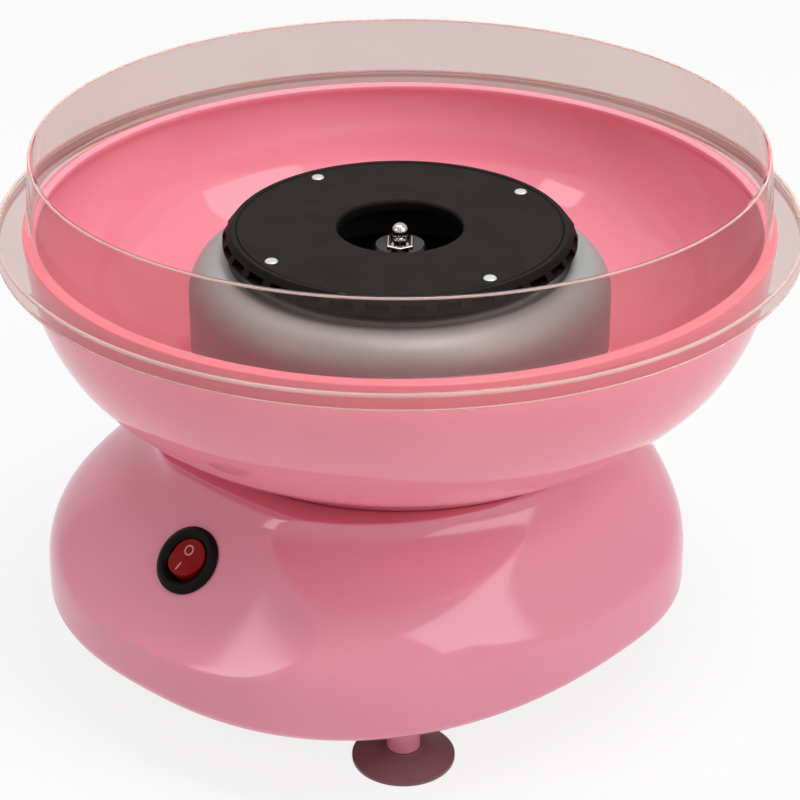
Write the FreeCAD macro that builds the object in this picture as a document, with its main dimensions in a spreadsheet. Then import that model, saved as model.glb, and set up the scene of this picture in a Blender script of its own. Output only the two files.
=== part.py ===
import FreeCAD, Part
import math
import os
import Sketcher
from FreeCAD import Placement, Rotation, Vector

# A tabletop cotton candy machine. +Z is up, the origin is on the spindle axis at the level of the
# suction feet, and the switch faces -Y. Every length is in millimetres and every angle in degrees.
# A name that ends in level is a height above the feet; one that ends in height, drop or rise is
# measured from the piece that carries the thing.

SIZES = {
    # base shell: a rounded, four-lobed housing, widest near its foot and necked in under the bowl
    "base_side_reach": 105.3,
    "base_front_reach": 128.0,
    "base_rear_reach": 77.0,
    "base_squareness": 2.38,
    "base_bottom_level": 18.6,
    "base_belly_height": 13.1,
    "base_bottom_share": 0.81,
    "base_bottom_bend": 2.75,
    "base_height": 65.4,
    "deck_side_reach": 79.4,
    "deck_front_reach": 92.0,
    "deck_rear_reach": 80.0,
    "shoulder_bend": 3.66,
    "shoulder_drop": 2.35,
    "base_wall": 2.6,
    # the four shallow panels in its sides
    "panel_radius": 350.0,
    "panel_height": 47.4,
    "front_panel_reach": 105.0,
    "front_panel_slope": 45.0,
    "side_panel_reach": 90.5,
    "side_panel_slope": 37.0,
    "rear_panel_reach": 74.5,
    "rear_panel_slope": 0.0,
    "crease_softness": 1.6,
    # openings of the shell
    "spindle_hole_radius": 9.0,
    "lead_hole_radius": 5.0,
    "inlet_height": 15.4,
    # bottom plate, its feet and its screws
    "bottom_rim_width": 16.0,
    "bottom_plate_thickness": 2.4,
    "bottom_plate_gap": 0.2,
    "front_foot_spread": 63.0,
    "front_foot_reach": 71.0,
    "rear_foot_spread": 54.5,
    "rear_foot_reach": 44.0,
    "foot_stem_radius": 5.6,
    "foot_pin_radius": 3.2,
    "foot_pin_depth": 1.6,
    "cup_radius": 17.0,
    "cup_neck_radius": 6.4,
    "cup_height": 4.4,
    "cup_lip": 1.0,
    "cup_web": 1.4,
    "cup_hollow_fall": 0.4,
    "cup_shoulder_width": 3.0,
    "cup_shoulder_rise": 0.4,
    "cup_neck_rise": 1.0,
    "pillar_radius": 4.6,
    "front_pillar_spread": 34.0,
    "front_pillar_reach": 70.0,
    "rear_pillar_spread": 50.0,
    "rear_pillar_reach": 14.0,
    "plate_screw_radius": 1.6,
    "plate_screw_head_radius": 3.2,
    "plate_screw_bite": 11.0,
    "pilot_spare": 1.0,
    "screw_head_height": 1.8,
    "screw_recess_width": 0.6,
    "screw_recess_depth": 0.8,
    "vent_count": 7,
    "vent_width": 3.0,
    "vent_length": 34.0,
    "vent_pitch": 7.0,
    "vent_reach": 34.0,
    # switch
    "switch_bezel_radius": 11.5,
    "switch_bezel_height": 2.2,
    "switch_bevel_width": 1.4,
    "switch_bevel_height": 1.0,
    "switch_seat_depth": 0.4,
    "switch_barrel_radius": 9.8,
    "switch_barrel_depth": 13.0,
    "switch_well_radius": 7.6,
    "switch_well_bevel": 1.2,
    "switch_floor": 2.5,
    "switch_blade_spread": 4.5,
    "switch_blade_width": 6.3,
    "switch_blade_thickness": 0.8,
    "switch_blade_length": 9.0,
    "rocker_radius": 6.6,
    "rocker_tilt": 9.0,
    "rocker_crown": 1.2,
    "rocker_skirt_depth": 3.0,
    "rocker_keel_depth": 7.0,
    "rocker_keel_width": 5.0,
    "rocker_pivot_depth": 2.0,
    "rocker_pin_radius": 1.0,
    "rocker_pin_inset": 1.0,
    "rocker_pin_end_gap": 0.3,
    "running_gap": 0.05,
    # bowl
    "rest_gap": 0.3,
    "bowl_foot_inset": 0.4,
    "bowl_foot_height": 3.1,
    "bowl_heel_flare": 3.0,
    "bowl_heel_height": 4.3,
    "bowl_heel_lean": 67.0,
    "bowl_waist_radius": 115.2,
    "bowl_waist_height": 29.5,
    "bowl_waist_lean": 34.0,
    "bowl_top_radius": 125.3,
    "bowl_rim_height": 69.9,
    "bowl_rim_flange": 0.6,
    "bowl_rim_lip": 4.0,
    "bowl_rim_thickness": 2.7,
    "bowl_lip_thickness": 1.6,
    "bowl_upper_curve": 64.0,
    "bowl_lower_curve": 74.0,
    "bowl_wall": 2.6,
    "bowl_hole_gap": 1.5,
    "bowl_collar_height": 9.0,
    # splash guard
    "guard_height": 26.1,
    "guard_foot_inset": 1.3,
    "guard_lean": 2.3,
    "guard_wall": 1.6,
    "guard_skirt_gap": 7.5,
    "guard_skirt_drop": 4.1,
    "guard_bevel": 0.9,
    # heater
    "cover_radius": 72.0,
    "cover_height": 55.5,
    "cover_inner_radius": 53.0,
    "cover_round": 13.0,
    "cover_wall": 1.5,
    "cover_ledge_width": 5.0,
    "lip_ring_overlap": 1.0,
    "lip_ring_depth": 4.0,
    "dish_gap": 6.5,
    "dish_wall": 1.2,
    "dish_depth": 17.0,
    "dish_hole_gap": 3.0,
    "post_radius": 4.0,
    "post_height": 20.0,
    "post_inset": 7.5,
    "element_inset": 12.5,
    "element_tube_radius": 3.5,
    "element_height": 13.5,
    "element_leg_radius": 2.1,
    "element_leg_turn": 12.0,
    "element_leg_drop": 8.0,
    "bush_collar_radius": 5.0,
    "bush_collar_height": 3.0,
    "bush_neck_radius": 3.8,
    "bush_neck_rise": 1.0,
    "cutoff_radius": 6.5,
    "cutoff_height": 5.0,
    "cutoff_fan_gap": 6.0,
    "cutoff_tab_spread": 4.0,
    "cutoff_tab_width": 4.0,
    "cutoff_tab_thickness": 0.8,
    "cutoff_tab_length": 4.0,
    # spinner head
    "head_gap": 4.5,
    "head_height": 5.6,
    "head_radius": 60.0,
    "head_edge_bevel": 0.6,
    "head_edge_height": 2.0,
    "head_rim_width": 2.6,
    "head_rim_bevel": 0.5,
    "head_plate_gap": 0.1,
    "head_plate_sink": 0.2,
    "head_plate_radius": 55.0,
    "head_plate_thickness": 1.3,
    "head_hole_radius": 21.3,
    "head_hole_lip": 2.2,
    "head_flange_width": 7.5,
    "head_flange_thickness": 1.1,
    "head_band_depth": 3.4,
    "head_vent_count": 32,
    "head_vent_width": 8.0,
    "head_vent_height": 2.5,
    "rivet_inset": 4.0,
    "rivet_radius": 1.4,
    "rivet_head_radius": 2.2,
    "rivet_head_height": 0.5,
    "rivet_tail_height": 1.0,
    "rivet_turn": -14.5,
    "pan_depth": 15.0,
    "pan_gap": 8.6,
    "pan_floor_inset": 14.6,
    "pan_flange_inset": 6.2,
    "pan_wall": 1.2,
    "hub_radius": 9.0,
    "hub_foot_radius": 8.0,
    "hub_foot_height": 5.5,
    "hub_stem_radius": 6.0,
    "hub_stem_height": 13.8,
    "hub_cap_height": 2.4,
    "hub_cap_bevel": 0.8,
    "hub_slot_width": 6.6,
    "hub_slot_depth": 2.0,
    "hub_turn": 40.0,
    "nut_radius": 9.6,
    "nut_height": 3.0,
    "clip_wire_radius": 0.5,
    "clip_side_gap": 0.5,
    "clip_arm_length": 4.0,
    "clip_shoulder_reach": 3.7,
    "clip_tip_reach": 5.8,
    # spindle and fan
    "spindle_radius": 3.0,
    "spindle_tail_radius": 2.6,
    "spindle_neck_radius": 2.2,
    "spindle_neck_depth": 0.4,
    "spindle_ball_radius": 3.0,
    "spindle_ball_rise": 4.5,
    "drive_pin_radius": 1.2,
    "drive_pin_length": 15.0,
    "drive_pin_rise": 2.5,
    "pin_slot_gap": 0.25,
    "fan_tip_gap": 4.0,
    "fan_rise": 4.0,
    "fan_height": 10.0,
    "fan_disc_thickness": 1.2,
    "fan_hub_wall": 3.0,
    "fan_blade_thickness": 1.2,
    "fan_blade_count": 8,
    "fan_rim_width": 2.0,
    # motor
    "motor_drop": 11.0,
    "motor_radius": 17.5,
    "motor_length": 36.0,
    "motor_wall": 1.2,
    "end_cap_height": 4.0,
    "end_cap_floor": 2.3,
    "bearing_radius": 4.5,
    "bearing_boss_radius": 6.0,
    "bearing_length": 6.0,
    "bearing_pocket_gap": 1.0,
    "spindle_step_gap": 1.0,
    "spindle_tail_gap": 0.5,
    "rotor_radius": 12.3,
    "rotor_length": 20.0,
    "rotor_top_gap": 8.0,
    "rotor_slot_count": 5,
    "rotor_slot_radius": 2.6,
    "rotor_slot_inset": 2.0,
    "rotor_slot_turn": 18.0,
    "magnet_gap": 0.7,
    "magnet_end_gap": 5.5,
    "magnet_split_width": 9.0,
    "commutator_radius": 6.7,
    "commutator_length": 5.0,
    "commutator_rise": 2.5,
    "brush_pad_reach": 11.3,
    "brush_pad_width": 6.0,
    "brush_pad_height": 3.0,
    "brush_length": 6.55,
    "brush_width": 3.6,
    "brush_height": 3.0,
    "bracket_rim": 7.0,
    "bracket_thickness": 1.5,
    "bracket_window_radius": 8.0,
    "bracket_window_inset": 4.0,
    "bracket_window_turn": 60.0,
    "motor_screw_reach": 10.15,
    "motor_screw_radius": 1.3,
    "motor_screw_head_radius": 2.5,
    "motor_screw_head_height": 1.6,
    "mount_ring_radius": 32.0,
    "mount_screw_radius": 1.6,
    "mount_screw_head_radius": 3.8,
    "mount_screw_bite": 3.5,
    "grommet_radius": 6.0,
    "grommet_core_radius": 3.6,
    "grommet_flange": 2.0,
    # cord gland and rectifier board
    "gland_flange_radius": 7.5,
    "gland_flange_thickness": 2.0,
    "gland_body_radius": 5.0,
    "gland_bore_radius": 3.2,
    "gland_nose_length": 6.0,
    "gland_tail_length": 4.0,
    "gland_tail_radius": 4.0,
    "gland_barb_radius": 6.5,
    "gland_seat_depth": 1.0,
    "board_length": 44.0,
    "board_width": 24.0,
    "board_thickness": 1.6,
    "board_back": 32.0,
    "standoff_height": 5.0,
    "standoff_radius": 2.4,
    "standoff_inset": 3.5,
    "diode_radius": 1.4,
    "diode_length": 5.2,
    "diode_pitch": 5.0,
    "diode_count": 4,
    "diode_offset": 14.0,
    "capacitor_radius": 4.0,
    "capacitor_height": 8.0,
    "capacitor_offset": 12.0,
}

doc = FreeCAD.newDocument("cotton_candy_machine")
sheet = doc.addObject("Spreadsheet::Sheet", "Sizes")
for row, (alias, value) in enumerate(SIZES.items(), start=1):
    sheet.set("A%d" % row, alias)
    sheet.set("B%d" % row, str(value))
    sheet.setAlias("B%d" % row, alias)
doc.recompute()


class Size(float):
    """A length that also carries the sheet expression that it is worked out by."""

    def __new__(cls, value, text):
        length = float.__new__(cls, value)
        length.text = text
        return length

    def joined(self, sign, other, value):
        return Size(value, "(%s %s %s)" % (self.text, sign, written(other)))

    def __add__(self, other):
        return self.joined("+", other, float(self) + float(other))

    def __sub__(self, other):
        return self.joined("-", other, float(self) - float(other))

    def __mul__(self, other):
        return self.joined("*", other, float(self) * float(other))

    def __truediv__(self, other):
        return self.joined("/", other, float(self) / float(other))

    def __neg__(self):
        return Size(-float(self), "(0 - %s)" % self.text)


def written(value):
    return value.text if isinstance(value, Size) else repr(float(value))


class SheetSizes:
    def __getattr__(self, alias):
        return Size(sheet.get(alias), "Sizes." + alias)


size = SheetSizes()
nodes = []


# ---- helpers -------------------------------------------------------------------------------------

def bind(thing, values):
    """Ties each property to its size; a plain number is bound as itself."""
    for prop, value in values.items():
        thing.setExpression(prop, written(value))


def place(thing, x=0, y=0, z=0, rotation=None):
    if rotation is not None:
        thing.Placement = Placement(Vector(0, 0, 0), rotation)
    bind(thing, {"Placement.Base.x": x, "Placement.Base.y": y, "Placement.Base.z": z})
    return thing


def cylinder(name, radius, height, x=0, y=0, z=0, rotation=None):
    solid = doc.addObject("Part::Cylinder", name)
    bind(solid, {"Radius": radius, "Height": height})
    return place(solid, x, y, z, rotation)


def box(name, length, width, height, x=0, y=0, z=0, rotation=None):
    solid = doc.addObject("Part::Box", name)
    bind(solid, {"Length": length, "Width": width, "Height": height})
    return place(solid, x, y, z, rotation)


def fused(name, solids):
    result = doc.addObject("Part::MultiFuse", name)
    result.Shapes = solids
    return result


def cut(name, base, tools):
    result = doc.addObject("Part::Cut", name)
    result.Base = base
    result.Tool = tools[0] if len(tools) == 1 else fused(name + "_tools", tools)
    return result


def group(name, solids):
    result = doc.addObject("Part::Compound", name)
    result.Links = solids
    return result


def shaped(name, shape, placement=None):
    """A solid made straight from Part's functions, for the forms that no feature draws."""
    result = doc.addObject("Part::Feature", name)
    result.Shape = shape
    if placement is not None:
        result.Placement = placement
    return result


def node(label, thing):
    thing.Label = label
    nodes.append(thing)
    return thing


def arc_middle(start, end, radius, side):
    """The middle of an arc of this radius that bulges to the left (+1) or right (-1) of its chord."""
    chord = end - start
    half = chord.Length / 2
    rise = radius - math.sqrt(radius * radius - half * half)
    left = Vector(-chord.y, chord.x, 0).normalize()
    return (start + end) * 0.5 + left * (rise * side)


def origin_plane(body, role):
    return [item for item in body.Origin.OriginFeatures if item.Role == role][0]


def turned(name, outline, rounds=()):
    """A body of revolution about Z from (radius, level) corners. A corner may also hold the radius
    and side of the arc that leads to it. rounds holds (fillet radius, [corners])."""
    body = doc.addObject("PartDesign::Body", name)
    sketch = body.newObject("Sketcher::SketchObject", name + "_outline")
    sketch.AttachmentSupport = [(origin_plane(body, "XZ_Plane"), "")]
    sketch.MapMode = "FlatFace"
    points = [Vector(corner[0], corner[1], 0) for corner in outline]
    count = len(outline)
    ends = []
    for index in range(count):
        start = points[index - 1]
        end = points[index]
        if len(outline[index]) == 4:
            radius, side = outline[index][2:]
            middle = arc_middle(start, end, float(radius), side)
            edge = sketch.addGeometry(Part.Arc(start, middle, end), False)
            sketch.addConstraint(Sketcher.Constraint("Radius", edge, radius))
            sketch.setExpression("Constraints[%d]" % (sketch.ConstraintCount - 1), written(radius))
        else:
            edge = sketch.addGeometry(Part.LineSegment(start, end), False)
        forward = sketch.getPoint(edge, 1).distanceToPoint(start) < 1e-6
        ends.append(((edge, 1), (edge, 2)) if forward else ((edge, 2), (edge, 1)))
    for index in range(count):
        here = ends[index][1]
        following = ends[(index + 1) % count][0]
        sketch.addConstraint(Sketcher.Constraint("Coincident", here[0], here[1], following[0], following[1]))
        for kind, axis, value in (("DistanceX", -2, outline[index][0]), ("DistanceY", -1, outline[index][1])):
            if float(value) == 0.0:
                sketch.addConstraint(Sketcher.Constraint("PointOnObject", here[0], here[1], axis))
                continue
            sketch.addConstraint(Sketcher.Constraint(kind, -1, 1, here[0], here[1], float(value)))
            sketch.setExpression("Constraints[%d]" % (sketch.ConstraintCount - 1), written(value))
    turn = body.newObject("PartDesign::Revolution", name + "_turn")
    turn.Profile = sketch
    turn.ReferenceAxis = (sketch, ["V_Axis"])
    turn.Angle = 360
    last = turn
    for number, (radius, corners) in enumerate(rounds):
        doc.recompute()
        edges = [edge_at(last.Shape, corner) for corner in corners]
        fillet = body.newObject("PartDesign::Fillet", "%s_round_%d" % (name, number))
        fillet.Base = (last, edges)
        bind(fillet, {"Radius": radius})
        body.Tip = fillet
        last = fillet
    return body


def edge_at(shape, corner):
    for number, edge in enumerate(shape.Edges, start=1):
        curve = edge.Curve
        if not isinstance(curve, Part.Circle):
            continue
        if abs(curve.Radius - corner[0]) < 1e-4 and abs(curve.Center.z - corner[1]) < 1e-4:
            return "Edge%d" % number
    raise ValueError("no round edge at %s" % (corner,))


def ring_points(count, radius, turn=0.0):
    """Places evenly round the Z axis, as sizes."""
    places = []
    for index in range(count):
        angle = math.radians(turn + 360.0 * index / count)
        places.append((radius * math.cos(angle), radius * math.sin(angle)))
    return places


# ---- levels and places that several pieces share -------------------------------------------------

spare = 1.0  # how far a cutting tool stands past the faces that it cuts through

bottom_level = size.base_bottom_level
belly_level = bottom_level + size.base_belly_height
deck_level = bottom_level + size.base_height
panel_level = bottom_level + size.panel_height
inlet_level = bottom_level + size.inlet_height
plate_top = bottom_level + size.bottom_plate_thickness
bowl_foot_level = deck_level + size.rest_gap
rim_level = bowl_foot_level + size.bowl_rim_height
cover_top = deck_level + size.cover_height
dish_level = deck_level + size.post_height
dish_radius = size.cover_inner_radius - size.dish_gap
element_radius = dish_radius - size.element_inset
fan_radius = element_radius - size.fan_tip_gap
head_low = cover_top + size.head_gap
head_top = head_low + size.head_height
pan_level = head_low - size.pan_depth
hub_low = pan_level - size.hub_foot_height
hub_top = pan_level + size.hub_stem_height
pin_level = hub_low + size.drive_pin_rise
motor_top = deck_level - size.motor_drop
bracket_top = motor_top + size.bracket_thickness
boss_foot = bracket_top + size.grommet_flange

pillar_places = [(-size.front_pillar_spread, -size.front_pillar_reach),
                 (size.front_pillar_spread, -size.front_pillar_reach),
                 (size.rear_pillar_spread, size.rear_pillar_reach),
                 (-size.rear_pillar_spread, size.rear_pillar_reach)]
foot_places = {"front_left": (-size.front_foot_spread, -size.front_foot_reach),
               "front_right": (size.front_foot_spread, -size.front_foot_reach),
               "rear_right": (size.rear_foot_spread, size.rear_foot_reach),
               "rear_left": (-size.rear_foot_spread, size.rear_foot_reach)}
boss_places = ring_points(3, size.mount_ring_radius)
leg_turn = math.radians(float(size.element_leg_turn))
leg_places = [(-element_radius * math.cos(leg_turn), element_radius * math.sin(leg_turn) * side) for side in (-1, 1)]


# ---- base shell ----------------------------------------------------------------------------------

def body_reach(turn, level):
    """How far the plain rounded body reaches from the axis at one bearing and level."""
    squareness = float(size.base_squareness)
    front = math.sin(turn) < 0
    reach = float(size.base_front_reach if front else size.base_rear_reach)
    neck = float(size.deck_front_reach if front else size.deck_rear_reach)
    side = float(size.base_side_reach)
    if level < belly_level:
        fall = (belly_level - level) / float(size.base_belly_height)
        share = 1 - (1 - float(size.base_bottom_share)) * fall ** float(size.base_bottom_bend)
        side *= float(share)
        reach *= float(share)
    else:
        rise = min(1.0, (level - float(belly_level)) / (deck_level - float(belly_level)))
        share = float(1 - rise ** float(size.shoulder_bend)) ** float(size.shoulder_drop)
        side = float(size.deck_side_reach) + share * (side - float(size.deck_side_reach))
        reach = neck + share * (reach - neck)
        squareness = 2 + share * (squareness - 2)
    across = abs(math.cos(turn)) / side
    along = abs(math.sin(turn)) / reach
    return (across ** squareness + along ** squareness) ** (-1 / squareness)


def panel_reach(turn, level, bearing, reach, slope):
    """How far a panel lets the body reach: a wide, gently bowed face that leans back by slope."""
    lean = math.radians(slope)
    face = reach - (level - float(panel_level)) * math.tan(lean)
    bow = 1 / (2 * float(size.panel_radius) * math.cos(lean))
    across = math.sin(turn - bearing)
    out = math.cos(turn - bearing)
    if out < 0.1:
        return 1e3
    if abs(across) < 1e-6:
        return face
    bowed = bow * across * across
    return (math.sqrt(out * out + 4 * bowed * face) - out) / (2 * bowed)


def base_reach(turn, level):
    reach = body_reach(turn, level)
    for bearing, face, slope in ((-90, size.front_panel_reach, size.front_panel_slope),
                                 (0, size.side_panel_reach, size.side_panel_slope),
                                 (90, size.rear_panel_reach, size.rear_panel_slope),
                                 (180, size.side_panel_reach, size.side_panel_slope)):
        limit = panel_reach(turn, level, math.radians(bearing), float(face), float(slope))
        reach = (reach + limit - math.hypot(reach - limit, float(size.crease_softness))) / 2
    return reach


def base_section(level, inset, height):
    """The base's outline at one level, drawn in by inset and set at a height. It starts a few steps
    round, so that the seams between its four edges stay clear of every hole and post."""
    count = 56
    first = 5
    points = []
    for index in range(first, first + count):
        turn = 2 * math.pi * index / count
        reach = base_reach(turn, level) - inset
        points.append(Vector(reach * math.cos(turn), reach * math.sin(turn), height))
    outline = Part.BSplineCurve()
    steps = [index / count for index in range(count + 1)]
    outline.interpolate(Points=points, PeriodicFlag=True, Parameters=steps)
    return Part.Wire([outline.toShape(quarter / 4, (quarter + 1) / 4) for quarter in range(4)])


def base_form(inset):
    """The closed form of the base, drawn in by inset at its sides, its deck and its underside."""
    belly = float(belly_level)
    bottom = float(bottom_level)
    deck = float(deck_level)
    sections = []
    for part in (0, 0.18, 0.4, 0.68):
        height = bottom + inset + (belly - bottom - inset) * part
        sections.append(base_section(bottom + (belly - bottom) * part, inset, height))
    for part in (0, 0.16, 0.32, 0.46, 0.58, 0.69, 0.79, 0.89, 1):
        height = belly + (deck - inset - belly) * part
        sections.append(base_section(belly + (deck - belly) * part, inset, height))
    return Part.makeLoft(sections, True, False)


def upright(turn, reach, level, slope=0.0):
    """A place on the base's side: +Z points straight out of the wall there."""
    spin = Rotation(Vector(0, 0, 1), turn)
    out = spin.multiply(Rotation(Vector(1, 0, 0), 90 - slope))
    return Placement(spin.multVec(Vector(0, -reach, level)), out)


def post_shape(radius, x, y, low, high):
    return Part.makeCylinder(float(radius), high - low, Vector(x, y, low))


wall = float(size.base_wall)
outer = base_form(0.0)
inner = base_form(wall)
opening = Part.Face(base_section(float(bottom_level), float(size.bottom_rim_width), bottom_level - spare))
opening = opening.extrude(Vector(0, 0, wall + 2 * spare))
in_deck = deck_level - wall / 2
stem_root = bottom_level + wall
pin_foot = size.cup_height - size.foot_pin_depth

posts = []
for x, y in pillar_places:
    pilot_top = plate_top + size.plate_screw_bite + size.pilot_spare
    pilot = post_shape(size.plate_screw_radius, x, y, plate_top, pilot_top)
    posts.append(post_shape(size.pillar_radius, x, y, plate_top, in_deck).common(outer).cut(pilot))
for x, y in boss_places:
    pilot_top = boss_foot + size.mount_screw_bite + size.pilot_spare
    pilot = post_shape(size.mount_screw_radius, x, y, boss_foot, pilot_top)
    posts.append(post_shape(size.grommet_radius, x, y, boss_foot, in_deck).cut(pilot))
for x, y in foot_places.values():
    stem = post_shape(size.foot_stem_radius, x, y, size.cup_height, stem_root)
    pin = post_shape(size.foot_pin_radius, x, y, pin_foot, stem_root)
    posts.append(stem.fuse(pin))
shell = outer.cut(inner).cut(opening)
for post in posts:
    shell = shell.fuse(post)
shell_block = shaped("base_block", shell)

bore_depth = 4 * wall  # a bore through the wall starts this far inside its face
seat_hole = Part.makeCylinder(float(size.switch_barrel_radius), 2 * bore_depth, Vector(0, 0, -bore_depth))
seat_flat = Part.makeCylinder(float(size.switch_bezel_radius), bore_depth, Vector(0, 0, -size.switch_seat_depth))
switch_hole = shaped("switch_hole", seat_hole.fuse(seat_flat),
                     upright(0, float(size.front_panel_reach), float(panel_level), float(size.front_panel_slope)))
inlet = Part.makeCylinder(float(size.gland_body_radius), 2 * bore_depth, Vector(0, 0, -bore_depth))
inlet_flat = Part.makeCylinder(float(size.gland_flange_radius), bore_depth)
inlet_hole = shaped("inlet_hole", inlet.fuse(inlet_flat),
                    upright(180, size.rear_panel_reach - size.gland_seat_depth, float(inlet_level)))
deck_tool_low = deck_level - size.base_wall - spare
deck_tool_height = size.base_wall + 2 * spare
spindle_hole = cylinder("spindle_hole", size.spindle_hole_radius, deck_tool_height, z=deck_tool_low)
lead_holes = [cylinder("lead_hole_%d" % number, size.lead_hole_radius, deck_tool_height, x, y, deck_tool_low)
              for number, (x, y) in enumerate(leg_places)]
housing = shell_block
for hole in [switch_hole, inlet_hole, spindle_hole] + lead_holes:
    housing = cut("housing_with_" + hole.Name, housing, [hole])
node("base_shell", housing)


# ---- bottom plate and feet -----------------------------------------------------------------------

plate_inset = size.bottom_rim_width + size.bottom_plate_gap
plate_face = Part.Face(base_section(float(bottom_level), float(plate_inset), float(bottom_level)))
plate_blank = shaped("plate_blank", plate_face.extrude(Vector(0, 0, size.bottom_plate_thickness)))
plate_tool_low = bottom_level - spare
plate_tool_height = size.bottom_plate_thickness + 2 * spare
plate_holes = [cylinder("plate_hole_%d" % number, size.plate_screw_radius, plate_tool_height, x, y, plate_tool_low)
               for number, (x, y) in enumerate(pillar_places)]
vents = []
for number in range(int(size.vent_count)):
    vent_x = size.vent_pitch * (number - (int(size.vent_count) - 1) / 2)
    vents.append(box("vent_%d" % number, size.vent_width, size.vent_length, plate_tool_height,
                     vent_x - size.vent_width / 2, -size.vent_reach - size.vent_length / 2, plate_tool_low))
node("bottom_plate", cut("plate", plate_blank, plate_holes + vents))

web_level = pin_foot - size.cup_web
cup_outline = [
    (size.foot_pin_radius, size.cup_height), (size.foot_pin_radius, pin_foot), (0, pin_foot), (0, web_level),
    (size.cup_neck_radius, web_level - size.cup_hollow_fall), (size.cup_radius - size.cup_lip, 0),
    (size.cup_radius, 0), (size.cup_radius, size.cup_lip),
    (size.cup_neck_radius + size.cup_shoulder_width, pin_foot + size.cup_shoulder_rise),
    (size.cup_neck_radius, pin_foot + size.cup_neck_rise), (size.cup_neck_radius, size.cup_height)]
for corner_name, (x, y) in foot_places.items():
    foot = turned("suction_cup_" + corner_name, cup_outline)
    node("suction_foot_" + corner_name, place(foot, x, y))


def screw(name, x, y, seat_level, head_radius, shank_radius, shank_length):
    """A pan-head screw that points up, its head under the seat, with a cross recess."""
    head_low_level = seat_level - size.screw_head_height
    width = size.screw_recess_width
    length = head_radius * 1.1
    head = cylinder(name + "_head", head_radius, size.screw_head_height, x, y, head_low_level)
    shank = cylinder(name + "_shank", shank_radius, shank_length, x, y, seat_level)
    recess = [
        box(name + "_recess_x", length, width, size.screw_recess_depth, x - length / 2, y - width / 2, head_low_level),
        box(name + "_recess_y", width, length, size.screw_recess_depth, x - width / 2, y - length / 2, head_low_level)]
    return cut(name, fused(name + "_blank", [head, shank]), recess)


plate_shank = size.bottom_plate_thickness + size.plate_screw_bite
node("bottom_screws", group("plate_screws", [
    screw("plate_screw_%d" % number, x, y, bottom_level, size.plate_screw_head_radius, size.plate_screw_radius,
          plate_shank) for number, (x, y) in enumerate(pillar_places)]))


# ---- switch --------------------------------------------------------------------------------------

lean = math.radians(float(size.front_panel_slope))
seat_y = -size.front_panel_reach + size.switch_seat_depth * math.cos(lean)
seat_level = panel_level - size.switch_seat_depth * math.sin(lean)
seat_turn = Rotation(Vector(1, 0, 0), 90 - float(size.front_panel_slope))
across_turn = Rotation(Vector(0, 1, 0), 90)


def on_switch(thing):
    """Sets a piece drawn about its own Z axis on the switch's seat."""
    return place(thing, 0, seat_y, seat_level, seat_turn)


bezel_top = size.switch_bezel_height
bezel = turned("switch_bezel", [
    (size.switch_well_radius, bezel_top - size.switch_well_bevel),
    (size.switch_well_radius, size.switch_floor - size.switch_barrel_depth),
    (0, size.switch_floor - size.switch_barrel_depth), (0, -size.switch_barrel_depth),
    (size.switch_barrel_radius, -size.switch_barrel_depth), (size.switch_barrel_radius, 0),
    (size.switch_bezel_radius, 0), (size.switch_bezel_radius, bezel_top - size.switch_bevel_height),
    (size.switch_bezel_radius - size.switch_bevel_width, bezel_top),
    (size.switch_well_radius + size.switch_well_bevel, bezel_top)])
pin_half = size.switch_barrel_radius - size.rocker_pin_inset
bore_half = pin_half + size.rocker_pin_end_gap
pivot_bore = cylinder("pivot_bore", size.rocker_pin_radius + size.running_gap, bore_half * 2, -bore_half, 0,
                      -size.rocker_pivot_depth, across_turn)
node("switch_body", on_switch(cut("switch_housing", bezel, [pivot_bore])))

blades = []
for number, side in enumerate((-1, 1)):
    blades.append(box("blade_%d" % number, size.switch_blade_thickness, size.switch_blade_width,
                      size.switch_blade_length,
                      size.switch_blade_spread * side - size.switch_blade_thickness / 2,
                      -size.switch_blade_width / 2, -size.switch_barrel_depth - size.switch_blade_length))
node("switch_terminals", on_switch(group("switch_blades", blades)))

slant = math.tan(math.radians(float(size.rocker_tilt)))
rocker_reach = size.rocker_radius + spare
ear = float(size.rocker_crown) + slant * float(rocker_reach)
keel = float(size.rocker_keel_width) / 2
profile = [Vector(0, -rocker_reach, ear), Vector(0, 0, size.rocker_crown), Vector(0, rocker_reach, ear),
           Vector(0, rocker_reach, -size.rocker_skirt_depth), Vector(0, keel, -size.rocker_keel_depth),
           Vector(0, -keel, -size.rocker_keel_depth), Vector(0, -rocker_reach, -size.rocker_skirt_depth)]
side_face = Part.Face(Part.makePolygon(profile + profile[:1]))
side_face.translate(Vector(-rocker_reach, 0, 0))
facets = side_face.extrude(Vector(rocker_reach * 2, 0, 0))
disc_low = -size.rocker_keel_depth - spare
disc = Part.makeCylinder(float(size.rocker_radius), ear + spare - disc_low, Vector(0, 0, disc_low))
pivot = Vector(0, 0, -size.rocker_pivot_depth)
pins = Part.makeCylinder(float(size.rocker_pin_radius), pin_half * 2, pivot - Vector(pin_half, 0, 0), Vector(1, 0, 0))
for form in (facets, disc, pins):  # the switch is off, so the side marked O is pressed in
    form.rotate(pivot, Vector(1, 0, 0), -float(size.rocker_tilt))
button = facets.common(disc).fuse(pins).removeSplitter()
node("rocker", shaped("rocker_button", button, Placement(Vector(0, seat_y, seat_level), seat_turn)))


# ---- bowl ----------------------------------------------------------------------------------------

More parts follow.
